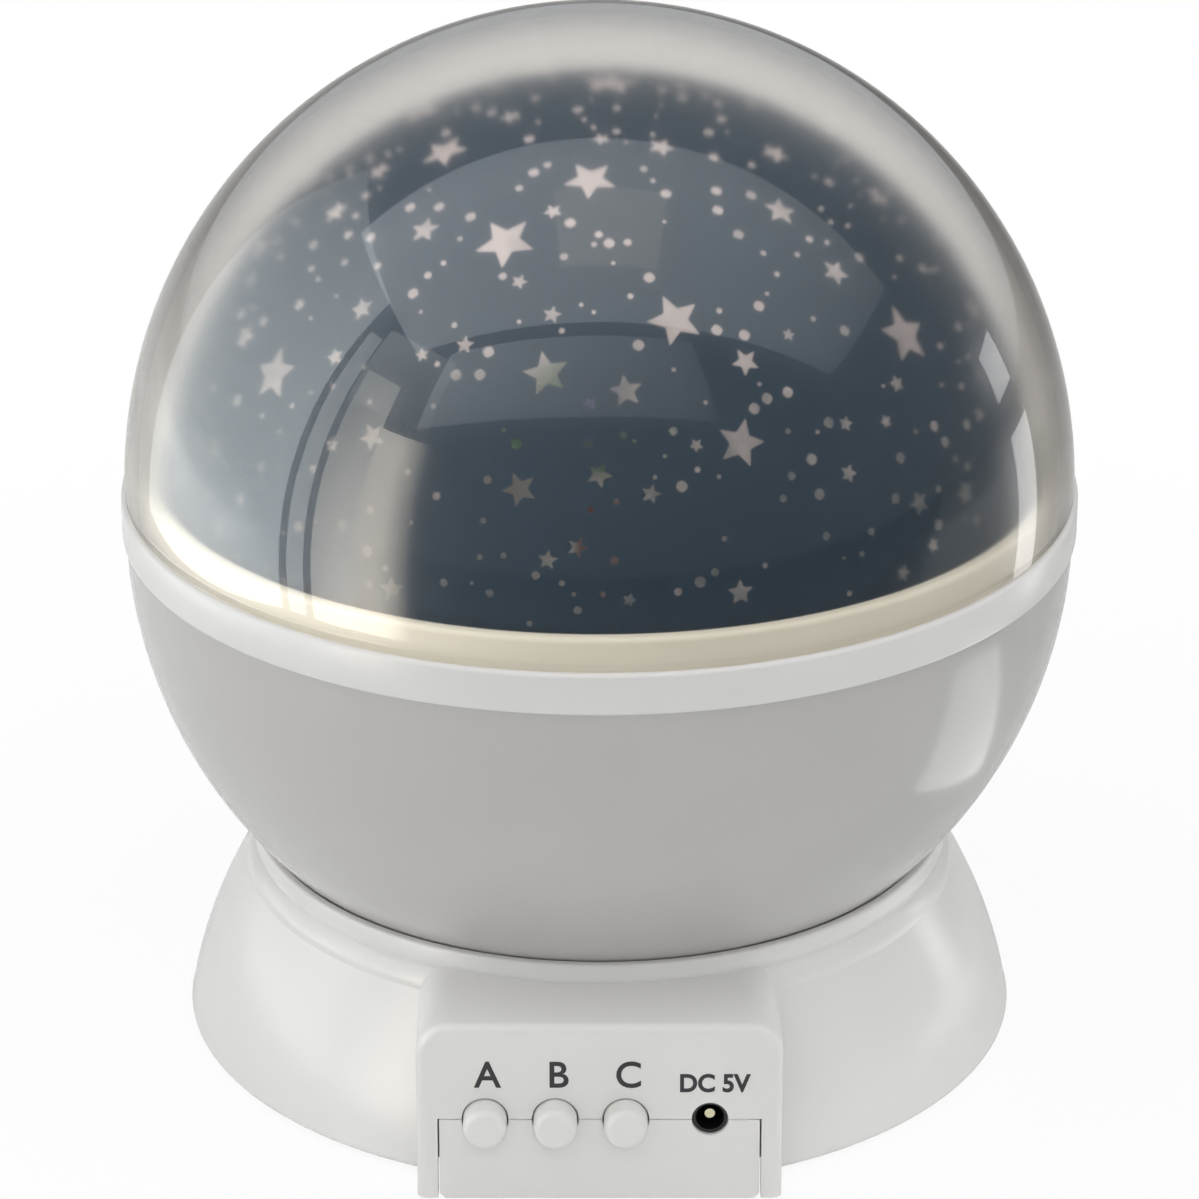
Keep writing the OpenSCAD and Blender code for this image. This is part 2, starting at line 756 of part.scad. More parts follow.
module contact_plates() {
    color("silver") {
        for (i = [0, 3]) {
            contact_sheet(i, i, bay_y0);
            translate([cells[i] - terminal_w / 2, bay_y0 - bay_wall - terminal_out, cell_z - terminal_t / 2])
                cube([terminal_w, bay_wall + terminal_out + eps, terminal_t]);
        }
        contact_stud(0, bay_y0 + contact_t - eps, cell_y0);
        contact_sheet(1, 2, bay_y0);
        contact_stud(2, bay_y0 + contact_t - eps, cell_y0);
        for (i = [0, 2]) {
            contact_sheet(i, i + 1, bay_y1 - contact_t);
            contact_stud(i + 1, cell_y1, bay_y1 - contact_t + eps);
        }
    }
}

// ---------- controls ----------

module control_board() {
    color("seagreen") difference() {
        slab(board_w, -board_front, -board_back, board_low, board_top);
        for (s = [-1, 1]) translate([s * board_screw_x, -board_screw_y, board_low - 1])
            cylinder(r = small_screw_r + 0.2, h = board_t + 2);
    }
}

module board_screws() {
    color("silver") for (s = [-1, 1]) translate([s * board_screw_x, -board_screw_y, board_top])
        mirror([0, 0, 1]) screw(small_screw_r, small_head_r, small_head_t, board_t + 2.6);
}

// Small chip with eight legs, beside the wire pads
module driver_chip() {
    color("dimgray") translate([-chip_x, -chip_y, board_top]) {
        translate([-chip_l / 2, -chip_w / 2, chip_stand]) cube([chip_l, chip_w, chip_h]);
        for (i = [0:3], s = [-1, 1])
            translate([(i - 1.5) * chip_pitch, s * (chip_w / 2 + chip_leg_l * 0.45), chip_leg_t / 2])
                cube([chip_leg_w, chip_leg_l, chip_leg_t], center = true);
    }
}

module capacitor() {
    color("steelblue") translate([capacitor_x, -chip_y, board_top])
        cylinder(r = capacitor_r, h = capacitor_h);
}

module push_switch(x) {
    color("midnightblue") difference() {
        translate([x, 0, 0])
            slab(switch_w, -switch_front, -switch_front + switch_l, board_top, board_top + switch_w);
        translate([x, 0, button_z])
            bar_y(plunger_r + fit, switch_front - plunger_in - button_travel - switch_room, switch_front + 1);
    }
}

module plunger(x) {
    color("gainsboro") translate([x, 0, button_z])
        bar_y(plunger_r, switch_front - plunger_in, cap_back + cap_bore_depth - 0.1);
}

module button_cap(x) {
    tip = panel_front + button_out;
    color("white") translate([x, 0, button_z]) difference() {
        union() {
            bar_y(button_r, cap_back, tip - cap_edge);
            bar_y(cap_flange_r, cap_back, cap_back + cap_flange_t);
            translate([0, -tip + cap_edge, 0]) rotate([90, 0, 0])
                cylinder(r1 = button_r, r2 = button_r - cap_edge, h = cap_edge);
        }
        bar_y(plunger_r + 0.02, cap_back - 1, cap_back + cap_bore_depth);
    }
}

module jack_body() {
    color("black") translate([jack_x, 0, 0]) difference() {
        union() {
            slab(jack_w, -jack_front, -jack_front + jack_l, board_top, board_top + switch_w);
            translate([0, 0, button_z]) bar_y(jack_nose_r, jack_front - 1, jack_front + jack_nose_out);
        }
        translate([0, 0, button_z])
            bar_y(jack_bore_r, jack_front + jack_nose_out - jack_bore_l, panel_front + 1);
    }
}

module jack_pin() {
    color("gold") translate([jack_x, 0, button_z]) {
        back = jack_front + jack_nose_out - jack_bore_l;
        bar_y(jack_pin_r, back, back + jack_pin_l);
    }
}

// ---------- drive ----------

module motor_can() {
    color("silver") translate([drive_x, 0, motor_z]) {
        intersection() {
            bar_y(motor_r, gearbox_l / 2, gearbox_l / 2 + motor_l);
            slab(2 * motor_r + 1, -gearbox_l / 2 - motor_l - 1, 0, -motor_flat, motor_flat);
        }
        bar_y(motor_cap_r, gearbox_l / 2 + motor_l - eps, gearbox_l / 2 + motor_l + motor_cap_t);
    }
}

module gearbox() {
    color("ivory") difference() {
        translate([drive_x, 0, 0]) {
            slab(gearbox_w, -gearbox_l / 2, gearbox_l / 2, gearbox_low, gearbox_top - gearbox_neck_h);
            translate([0, 0, gearbox_top - gearbox_neck_h - eps])
                cylinder(r = gearbox_neck_r, h = gearbox_neck_h + eps);
            translate([gearbox_w / 2 + ear_l / 2, 0, 0])
                slab(ear_l + eps, -ear_w / 2, ear_w / 2, ear_z, ear_z + ear_t);
        }
        translate([ear_screw_x, 0, ear_z - 1]) cylinder(r = small_screw_r + snug, h = ear_t + 2);
        translate([drive_x, 0, gearbox_low + gearbox_floor]) cylinder(r = shaft_r + fit, h = gearbox_top);
    }
}

module motor_shaft() {
    foot = gearbox_low + gearbox_floor + shaft_room;
    color("silver") translate([drive_x, 0, foot]) cylinder(r = shaft_r, h = deck_low + shaft_end - foot);
}

module drive_pinion() {
    color("ivory") translate([drive_x, 0, pinion_low]) linear_extrude(pinion_t) difference() {
        rotate(180 + 180 / pinion_teeth) gear_2d(pinion_pitch_r, pinion_teeth, gear_tip, pinion_slack);
        circle(r = shaft_r + 0.02);
    }
}

// Strap over the motor: one end rests on the battery bay's roof, the other ends in a foot
module motor_clamp() {
    under = max(motor_z + motor_flat + clamp_gap, bay_roof);
    top = under + clamp_t;
    near = bay_w / 2 + bay_wall - clamp_lap;
    far = drive_x + clamp_in;
    color("silver") difference() {
        translate([0, -clamp_y - clamp_w / 2, 0]) rotate([-90, 0, 0]) linear_extrude(clamp_w) mirror([0, 1]) {
            translate([near, bay_roof]) square([clamp_lap, top - bay_roof]);
            translate([near, under]) square([far + clamp_t - near, clamp_t]);
            translate([far, clamp_foot_z]) square([clamp_t, top - clamp_foot_z]);
            translate([far, clamp_foot_z]) square([clamp_t + clamp_foot, clamp_t]);
        }
        translate([clamp_screw_x, -clamp_y, clamp_foot_z - 1])
            cylinder(r = small_screw_r + snug, h = clamp_t + 2);
    }
}

module motor_screws() {
    color("silver") at_motor_screws() mirror([0, 0, 1])
        screw(small_screw_r, small_head_r, small_head_t, motor_screw_l);
}

module drive_gear() {
    color("ivory") translate([0, 0, gear_low]) difference() {
        linear_extrude(gear_t) difference() {
            gear_2d(gear_pitch_r, gear_teeth, gear_tip, gear_slack);
            circle(r = hub_bore_r);
        }
        at_gear_screws() {
            translate([0, 0, -1]) cylinder(r = small_screw_r + 0.1, h = gear_t + 2);
            translate([0, 0, -1]) cylinder(r = hub_head_r + 0.1, h = gear_screw_sink + 1);
        }
    }
}

// Places a child at the screws that hold the drive gear to the hub
module at_gear_screws() {
    for (i = [0:gear_screw_count - 1]) rotate(30 + 360 * i / gear_screw_count)
        translate([gear_screw_ring_r, 0, 0]) children();
}

module gear_screws() {
    color("silver") at_gear_screws() translate([0, 0, gear_low + gear_screw_sink])
        screw(small_screw_r, hub_head_r, 1, gear_screw_l);
}

module hub_bush() {
    color("ivory") {
        ring(bush_in_r, bush_out_r, deck_low, deck_top + eps);
        ring(bush_in_r, bush_flange_r, deck_top, deck_top + bush_flange_t);
    }
}

// ---------- lamp ----------

module lamp_stem() {
    color("white") difference() {
        union() {
            translate([0, 0, bay_roof]) cylinder(r = stem_flange_r, h = stem_flange_t);
            translate([0, 0, bay_roof]) cylinder(r = stem_r, h = stem_top - bay_roof);
            translate([0, 0, stem_top - stem_head_t]) cylinder(r = stem_head_r, h = stem_head_t);
        }
        translate([0, 0, bay_roof - 1]) cylinder(r = duct_r, h = stem_top - bay_roof + 2);
        slab(wire_slot_w, -stem_flange_r - 1, 0, bay_roof - 1, bay_roof + wire_slot_h);
        slab(window_w, -stem_r - 1, 0, stem_top - stem_head_t - 3 - window_h, stem_top - stem_head_t - 3);
        at_stem_screws() translate([0, 0, bay_roof - 1])
            cylinder(r = small_screw_r + 0.1, h = stem_flange_t + 2);
        translate([0, 0, stem_top - stem_cup_depth]) cylinder(r = stem_cup_r, h = stem_cup_depth + 1);
        at_lamp_screws() translate([0, 0, stem_top - stem_head_t - 1])
            cylinder(r = small_screw_r + fit, h = stem_head_t + 2);
    }
}

// Places a child at the screws that hold the stem, between the cells
module at_stem_screws() {
    for (s = [-1, 1]) translate([s * cell_pitch, 0, 0]) children();
}

// Places a child at the screws that hold the lamp board on the stem
module at_lamp_screws() {
    for (a = [45, 225]) rotate(a) translate([lamp_screw_ring_r, 0, 0]) children();
}

module stem_screws() {
    color("silver") at_stem_screws() translate([0, 0, bay_roof + stem_flange_t])
        mirror([0, 0, 1]) screw(small_screw_r, small_head_r, small_head_t, stem_flange_t + bay_wall + 1.2);
}

module lamp_screws() {
    color("silver") at_lamp_screws() translate([0, 0, lamp_z])
        mirror([0, 0, 1]) screw(small_screw_r, small_head_r, small_head_t, lamp_board_t + stem_head_t - 0.6);
}

module lamp_board() {
    color("seagreen") difference() {
        translate([0, 0, stem_top]) cylinder(r = lamp_board_r, h = lamp_board_t);
        for (i = [0:3]) rotate(90 * i) translate([led_ring_r, 0, stem_top - 1])
            for (s = [-1, 1]) translate([0, s * led_pitch, 0])
                cylinder(r = led_leg_r + 0.15, h = lamp_board_t + 2);
        at_lamp_screws() translate([0, 0, stem_top - 1])
            cylinder(r = small_screw_r + 0.1, h = lamp_board_t + 2);
    }
}

// Bulb i on the lamp board: flange, round body, domed tip and two legs
module led(i) {
    rotate(90 * i) translate([led_ring_r, 0, 0]) {
        translate([0, 0, led_base]) cylinder(r = led_r + led_flange, h = 1);
        translate([0, 0, led_base]) cylinder(r = led_r, h = led_h);
        translate([0, 0, led_base + led_h]) intersection() {
            sphere(r = led_r);
            translate([-led_r, -led_r, 0]) cube(2 * led_r);
        }
        for (s = [-1, 1]) translate([0, s * led_pitch, stem_top - 0.8])
            cylinder(r = led_leg_r, h = led_base - stem_top + 1);
    }
}

// ---------- wires ----------

// Five leads from the control board, through the stem, to the lamp board
module led_leads() {
    colours = ["red", "black", "yellow", "green", "blue"];
    rise = bay_roof + loose + wire_r;
    for (i = [0:4]) color(colours[i]) {
        x = led_wires[i];
        solder(x * led_fan, -pad_y);
        wire([[x * led_fan, -pad_y, lead_z], [x * led_fan, -pad_y, board_top + 4],
            [x, 0.5 - board_back, rise - 1.2], [x, bay_y0 - bay_wall - 1.3, rise],
            [x, -stem_flange_r - 3, rise], [x, 1 - stem_r, rise + 0.2],
            [x, -led_wire_y - 1, rise + wire_slot_h], [x, -led_wire_y, rise + wire_slot_h + 5],
            [x, -led_wire_y, stem_top - window_h - 6], [x, -led_wire_y, stem_top]]);
    }
}

// Two leads from the motor's end to the control board
module motor_leads() {
    x0 = drive_x - motor_r * 0.6;
    x1 = motor_pad_x;
    y0 = -gearbox_l / 2 - motor_l - 0.1;
    y1 = -board_back - 0.3;
    tap = motor_r * 0.4;
    color("red") wire([[x0, y0, motor_z + tap], [x0 - 0.3, y0 - 2.6, motor_z + tap],
        [x0 - 2.4, y0 - 6.5, board_top + 4.2], [(x0 + x1) / 2 - 1.4, y1, board_top + 3.4],
        [x1 + 0.2, -motor_pads[0], board_top + 1.9], [x1, -motor_pads[0], lead_z]]);
    color("black") wire([[x0, y0, motor_z - tap], [x0 - 0.8, y0 - 3, motor_z - tap],
        [x0 - 2.8, y0 - 8, motor_z - 1], [(x0 + x1) / 2 - 1.2, y1 - 2.2, board_top + 2.2],
        [x1 + 0.2, -motor_pads[1], board_top + 1.7], [x1, -motor_pads[1], lead_z]]);
    color("red") solder(x1, -motor_pads[0]);
    color("black") solder(x1, -motor_pads[1]);
}

// Two leads from the bay's terminals to the control board
module battery_leads() {
    y0 = bay_y0 - bay_wall - terminal_out;
    colours = ["red", "black"];
    for (i = [0, 1]) color(colours[i]) {
        x = cells[3 * i];
        wire([[x, y0 - wire_r + 0.05, cell_z], [x, y0 - 2.6, cell_z + 0.6], [x, y0 - 5, cell_z + 0.9],
              [x, 0.4 - pad_y, board_top + 1.6], [x, -pad_y, lead_z]]);
        solder(x, -pad_y);
    }
}

// ---------- globe ----------

module bowl() {
    color("lightgray") difference() {
        union() {
            shell_band(ball_r, bowl_in_r, bowl_cz, floor_z, belt_z);
            intersection() {
                translate([0, 0, bowl_cz]) sphere(r = ball_r);
                translate([0, 0, floor_z]) cylinder(r = ball_r, h = bowl_wall);
            }
        }
        cylinder(r = hub_r + fit, h = bowl_cz);
    }
}

// The tube that the globe turns on: its flange is bonded to the bowl's floor, and the gear is under it
module globe_hub() {
    floor_top = floor_z + bowl_wall;
    color("lightgray") difference() {
        union() {
            translate([0, 0, gear_low + gear_t])
                cylinder(r = hub_r, h = floor_top + hub_rise - gear_low - gear_t);
            translate([0, 0, floor_top]) cylinder(r = hub_r + hub_flange_w, h = hub_flange_t);
        }
        cylinder(r = hub_bore_r, h = bowl_cz);
        at_gear_screws() translate([0, 0, gear_low]) cylinder(r = small_screw_r + fit, h = gear_screw_l + 2);
    }
}

module belt_ring() {
    skirt_in = belt_skirt_r - belt_skirt_wall;
    groove_z = belt_top - spigot_h - loose;
    color("white") rotate_extrude() polygon([
        [belt_in_r, belt_z - eps], [skirt_in, belt_z - eps],
        [skirt_in, belt_z - belt_skirt_h], [belt_skirt_r, belt_z - belt_skirt_h],
        [belt_skirt_r, belt_z], [belt_out_r - belt_edge, belt_z], [belt_out_r, belt_z + belt_edge],
        [belt_out_r, belt_top - belt_edge], [belt_out_r - belt_edge, belt_top],
        [cover_groove_out, belt_top], [cover_groove_out, groove_z],
        [cover_groove_in, groove_z], [cover_groove_in, belt_step_z], [belt_in_r, belt_step_z]]);
}

module film_seat_ring() {
    top = belt_top + seat_rise;
    skirt_in = seat_skirt_r - seat_skirt_wall;
    color("ivory") rotate_extrude() polygon([
        [seat_ledge_in, belt_step_z], [skirt_in, belt_step_z], [skirt_in, belt_step_z - seat_skirt_h],
        [seat_skirt_r, belt_step_z - seat_skirt_h], [seat_skirt_r, belt_step_z],
        [seat_out_r, belt_step_z], [seat_out_r, top - seat_edge], [seat_out_r - seat_edge, top],
        [seat_in_r, top], [seat_in_r, seat_floor_z], [seat_ledge_in, seat_floor_z]]);
}

module film_dome() {
    color("darkslategray")
        shell_band(film_r, film_r - film_wall, film_cz, seat_floor_z, film_cz + film_r + 1);
}

module clear_cover() {
    color("gainsboro", 0.4) {
        shell_band(ball_r, cover_in_r, cover_cz, belt_top, cover_cz + ball_r + 1);
        ring(cover_in_r, cover_in_r + spigot_wall, belt_top - spigot_h, belt_top + eps);
    }
}

// ---------- output ----------

base_housing();
base_cover();
rubber_feet();
cover_screws();
control_board();
board_screws();
driver_chip();
capacitor();
push_switch(buttons[0]);  // light_switch
push_switch(buttons[1]);  // colour_switch
push_switch(buttons[2]);  // rotate_switch
button_cap(buttons[0]);  // light_button
button_cap(buttons[1]);  // colour_button
button_cap(buttons[2]);  // rotate_button
plunger(buttons[0]);  // light_plunger
plunger(buttons[1]);  // colour_plunger
plunger(buttons[2]);  // rotate_plunger
jack_body();
jack_pin();
battery_door();
door_screw();
battery_cell(cells[0], true);  // battery_cell_1
battery_cell(cells[1], false);  // battery_cell_2
battery_cell(cells[2], true);  // battery_cell_3
battery_cell(cells[3], false);  // battery_cell_4
battery_springs();
contact_plates();
motor_can();
gearbox();
motor_clamp();
motor_screws();
motor_shaft();
drive_pinion();
drive_gear();
gear_screws();
hub_bush();
lamp_stem();
stem_screws();
lamp_screws();
lamp_board();
color("ivory", 0.8) led(0);  // led_warm_white
color("red", 0.8) led(1);  // led_red
color("lime", 0.8) led(2);  // led_green
color("blue", 0.8) led(3);  // led_blue
led_leads();
motor_leads();
battery_leads();
bowl();
globe_hub();
belt_ring();
film_seat_ring();
film_dome();
clear_cover();
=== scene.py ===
import math

import bmesh
import bpy
import numpy as np
from bpy.props import FloatProperty, IntProperty, PointerProperty, StringProperty
from mathutils import Matrix, Vector
from mathutils.geometry import delaunay_2d_cdt, tessellate_polygon


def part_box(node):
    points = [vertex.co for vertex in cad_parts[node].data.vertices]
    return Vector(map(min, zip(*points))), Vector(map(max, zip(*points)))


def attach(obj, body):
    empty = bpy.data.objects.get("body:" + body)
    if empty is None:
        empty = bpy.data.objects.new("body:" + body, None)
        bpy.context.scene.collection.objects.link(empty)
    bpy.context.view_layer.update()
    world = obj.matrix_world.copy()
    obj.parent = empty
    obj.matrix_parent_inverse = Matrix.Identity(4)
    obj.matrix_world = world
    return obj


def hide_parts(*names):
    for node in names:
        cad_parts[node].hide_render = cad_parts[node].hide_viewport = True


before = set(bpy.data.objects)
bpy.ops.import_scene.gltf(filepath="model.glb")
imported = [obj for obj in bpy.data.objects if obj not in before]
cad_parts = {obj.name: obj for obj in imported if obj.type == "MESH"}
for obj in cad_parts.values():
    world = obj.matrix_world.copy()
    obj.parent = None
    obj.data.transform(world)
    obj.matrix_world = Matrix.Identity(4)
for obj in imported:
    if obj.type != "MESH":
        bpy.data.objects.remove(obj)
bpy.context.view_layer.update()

bl_info = {
    "name": "Planetarium projector",
    "version": (1, 0, 0),
    "blender": (4, 5, 0),
    "location": "View3D > Sidebar > Projector",
    "description": "Dresses the construction frame of a star-film projector with its finished surfaces",
    "category": "Object",
}

MM = 0.001


# ---- sizes from the frame

def low(node):
    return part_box(node)[0]


def high(node):
    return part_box(node)[1]


BELT_Z = high("bowl").z  # underside of the belt, just under the bowl's centre
BELT_TOP = high("belt_ring").z
BELT_R = high("belt_ring").x
BOWL_CENTRE = BELT_Z + 0.4 * MM
COVER_R = high("clear_cover").x
COVER_CENTRE = high("clear_cover").z - COVER_R
FILM_R = high("film_dome").x
FILM_LOW = low("film_dome").z
FILM_CENTRE = high("film_dome").z - FILM_R
SEAT_TOP = high("film_seat_ring").z
SEAT_R = high("film_seat_ring").x
RIM_Z = low("base_housing").z  # lower rim of the base
BASE_TOP = high("base_housing").z  # top edge of the collar
BASE_R = high("base_housing").x
PANEL_Y = low("base_housing").y  # face of the button panel
BUTTON_NODES = ("light_button", "colour_button", "rotate_button")


def middle(node):
    lo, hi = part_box(node)
    return (lo + hi) / 2


SHOULDER_Z = BASE_TOP - 2.6 * MM  # foot of the collar, where the flared side ends
SHOULDER_R = 47.6 * MM
SHOULDER_ROUND = 3.2 * MM  # rounding between the side and the collar
FLARE_BULGE = 1.1 * MM  # how far the side stands out halfway up
COLLAR_IN = 45.4 * MM
COLLAR_OUT = 46.2 * MM
COLLAR_LIP = math.sqrt(COVER_R ** 2 - (BOWL_CENTRE - BASE_TOP) ** 2) + 0.1 * MM  # just clears the bowl
DECK_TOP = BASE_TOP - 3.3 * MM  # the deck closes the base under the bowl
DECK_LOW = DECK_TOP - 2.0 * MM
HOOD_HALF = 23.05 * MM  # half the width of the panel hood
HOOD_TOP = 25.3 * MM
TAB_HALF = 20.4 * MM  # half the width of the gap that the base cover's tab fills
BUTTON_Z = middle("light_button").z
HOLE_R = 2.95 * MM  # hole in the panel around a button
NOSE_HOLE_R = 2.3 * MM  # hole around the nose of the supply socket
BOWL_WALL = 2.0 * MM
COVER_WALL = 1.8 * MM
STEP_Z = BELT_TOP - 1.0 * MM  # step in the belt that the ivory ring rests on
LETTER_FOOT = 16.75 * MM  # foot of the letters
CAPITAL = 0.72  # height of a capital letter as a share of its font size
INK_GAP = 0.02 * MM  # the ink stands this far off the panel


# ---- colours and nodes

def linear(hex_colour, share=1.0):
    """The linear RGBA of an sRGB hex colour such as "#c8c8c8", made darker or lighter by a share."""
    value = int(hex_colour.lstrip("#"), 16)
    channels = [((value >> shift) & 255) / 255 for shift in (16, 8, 0)]
    light = [c / 12.92 if c <= 0.04045 else ((c + 0.055) / 1.055) ** 2.4 for c in channels]
    return [min(1.0, c * share) for c in light] + [1.0]


def add(tree, kind, **settings):
    """Adds a shader node of a kind. Each setting is one of its attributes, or one of its sockets, named
    with _ for a space or as i and its number. A socket takes a value or a link: from a socket, or from a
    node, which stands for its first output in use."""
    node = tree.nodes.new("ShaderNode" + kind)
    sockets = {}
    for key, value in settings.items():
        if hasattr(node, key):
            setattr(node, key, value)
        else:
            sockets[key] = value
    for key, value in sockets.items():
        socket = node.inputs[int(key[1:]) if key[1:].isdigit() else key.replace("_", " ")]
        if isinstance(value, bpy.types.Node):
            value = next(output for output in value.outputs if output.enabled)
        if isinstance(value, bpy.types.NodeSocket):
            tree.links.new(value, socket)
        else:
            socket.default_value = value
    return node


def new_material(name):
    """An empty node material and its tree."""
    material = bpy.data.materials.new(name)
    material.use_nodes = True
    material.node_tree.nodes.clear()
    return material, material.node_tree


def object_noise(tree, size_mm, detail, roughness=0.5):
    """Noise on Object coordinates whose blobs are about size_mm across."""
    coords = add(tree, "TexCoord")
    return add(tree, "TexNoise", Vector=coords.outputs["Object"], Scale=1000.0 / size_mm, Detail=detail,
               Roughness=roughness)


def moulded_plastic(name, colour, roughness, ripple_mm=0.004, grain_mm=0.5, mottle=0.03, coat=0.0,
                    bevel_mm=0.0):
    """Injection-moulded plastic: an even colour with a faint cloudiness, a soft sheen that changes a
    little from place to place, and the slight ripple that a mould leaves."""
    material, tree = new_material(name)
    cloud = object_noise(tree, 14.0, 4.0)
    tint = add(tree, "Mix", data_type="RGBA", Factor=cloud, A=linear(colour, 1 - mottle),
               B=linear(colour, 1 + mottle))
    sheen = add(tree, "MapRange", Value=cloud, To_Min=roughness * 0.85, To_Max=roughness * 1.15)
    heights = add(tree, "Mix", Factor=0.3, A=object_noise(tree, 3.0, 2.0),
                  B=object_noise(tree, grain_mm, 2.0))
    bump = add(tree, "Bump", Height=heights, Strength=1.0, Distance=ripple_mm * MM)
    if bevel_mm:
        edge = add(tree, "Bevel", samples=4, Radius=bevel_mm * MM)
        tree.links.new(edge.outputs["Normal"], bump.inputs["Normal"])
    surface = add(tree, "BsdfPrincipled", Base_Color=tint, Roughness=sheen, Normal=bump, IOR=1.53,
                  Coat_Weight=coat, Coat_Roughness=0.03)
    add(tree, "OutputMaterial", Surface=surface)
    return material


def metal(name, colour, roughness):
    """Bare or plated metal: bright, with fine drawn lines that spread the reflections."""
    material, tree = new_material(name)
    lines = object_noise(tree, 0.6, 4.0, 0.7)
    rough = add(tree, "MapRange", Value=lines, To_Min=roughness * 0.6, To_Max=roughness * 1.4)
    bump = add(tree, "Bump", Height=lines, Strength=0.6, Distance=0.01 * MM)
    surface = add(tree, "BsdfPrincipled", Roughness=rough, Normal=bump, Base_Color=linear(colour),
                  Metallic=1.0)
    add(tree, "OutputMaterial", Surface=surface)
    return material


# ---- meshes

def arc(centre_r, centre_z, radius, start, end, steps):
    """Points of a circular arc in the (r, z) plane, angles in degrees."""
    angles = np.radians(np.linspace(start, end, steps))
    return np.column_stack([centre_r + radius * np.cos(angles), centre_z + radius * np.sin(angles)])


def sphere_arc(centre_z, radius, z_from, z_to, steps):
    """Points (r, z) of a circle about the axis, between two heights, evenly spaced along the arc."""
    start, end = [math.degrees(math.asin(max(-1, min(1, (z - centre_z) / radius)))) for z in (z_from, z_to)]
    return arc(0, centre_z, radius, start, end, steps)


def soft_corners(corners, steps=5):
    """A closed outline whose corners (x, y, radius) are rounded off by arcs that touch both sides."""
    outline = []
    for i, (x, y, radius) in enumerate(corners):
        point = np.array([x, y], float)
        before = np.array(corners[i - 1][:2], float) - point
        after = np.array(corners[(i + 1) % len(corners)][:2], float) - point
        before /= np.linalg.norm(before)
        after /= np.linalg.norm(after)
        half = math.acos(np.clip(before @ after, -1, 1)) / 2
        if radius <= 0 or half > math.radians(89):
            outline.append(point[None])
            continue
        reach = radius / math.tan(half)
        centre = point + (before + after) / np.linalg.norm(before + after) * radius / math.sin(half)
        first = point + before * reach - centre
        last = point + after * reach - centre
        turn = math.atan2(first[0] * last[1] - first[1] * last[0], first @ last)
        angles = math.atan2(first[1], first[0]) + turn * np.linspace(0, 1, steps)
        outline.append(centre + radius * np.column_stack([np.cos(angles), np.sin(angles)]))
    return np.vstack(outline)


def grid_faces(rows, columns, wrap_rows=False, wrap_columns=False):
    """The quads of a rows by columns grid of points, closed on itself where asked."""
    index = np.arange(rows * columns).reshape(rows, columns)
    if wrap_rows:
        index = np.vstack([index, index[:1]])
    if wrap_columns:
        index = np.hstack([index, index[:, :1]])
    corners = [index[:-1, :-1], index[:-1, 1:], index[1:, 1:], index[1:, :-1]]
    return np.stack(corners, axis=-1).reshape(-1, 4)


def build(name, parts, body, finishes, node, sharp=35.0, closed=True):
    """One mesh object from (points, faces, material index) parts, which stands for a construction node:
    doubles are merged, faces turned outwards and shaded smooth up to the sharp angle."""
    mesh = bpy.data.meshes.new(name)
    shape = bmesh.new()
    for points, faces, index in parts:
        verts = [shape.verts.new(p) for p in np.asarray(points, float).reshape(-1, 3).tolist()]
        for corner_list in faces:
            corners = [verts[i] for i in corner_list]
            if len(set(corners)) > 2:
                shape.faces.new(corners).material_index = index
    bmesh.ops.remove_doubles(shape, verts=shape.verts, dist=2e-6)
    bmesh.ops.dissolve_degenerate(shape, edges=shape.edges, dist=1e-7)
    if closed:
        bmesh.ops.recalc_face_normals(shape, faces=shape.faces)
    shape.to_mesh(mesh)
    shape.free()
    mesh.polygons.foreach_set("use_smooth", [True] * len(mesh.polygons))
    mesh.set_sharp_from_angle(angle=math.radians(sharp))
    piece = placed_piece(name, mesh, body, finishes)
    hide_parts(node)
    return piece


def placed_piece(name, mesh, body, finishes):
    """An object for a finished mesh, with its materials, which rides on a body."""
    for finish in finishes:
        mesh.materials.append(MATERIALS[finish])
    piece = bpy.data.objects.new(name, mesh)
    bpy.context.scene.collection.objects.link(piece)
    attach(piece, body)
    return piece


def revolved(profile, steps, closed_profile=True):
    """Points and quads of an (r, z) profile turned about the Z axis: x = r cos a, y = r sin a."""
    profile = np.asarray(profile, float)
    turn = np.linspace(0, 2 * math.pi, steps, endpoint=False)
    points = np.stack([profile[:, :1] * np.cos(turn), profile[:, :1] * np.sin(turn),
                       np.repeat(profile[:, 1:], steps, axis=1)], axis=-1)
    return points, grid_faces(len(profile), steps, closed_profile, True)


def turned(name, sections, body, finish, node):
    """A piece turned about the Z axis: from one closed (r, z) section, or from open skins that share
    their ends."""
    steps = bpy.context.scene.projector_sizes.round_steps
    parts = [(*revolved(section, steps, len(sections) == 1), 0) for section in sections]
    return build(name, parts, body, [finish], node)


def upright(outline, y):
    """Points of an (x, z) outline at depth y."""
    return np.column_stack([outline[:, 0], np.full(len(outline), y), outline[:, 1]])


def capped(outline, y):
    """Flat faces at depth y that fill an (x, z) outline."""
    corners = [[Vector((p[0], p[1], 0)) for p in outline]]
    return upright(outline, y), [list(face) for face in tessellate_polygon(corners)]


# ---- what a user would change

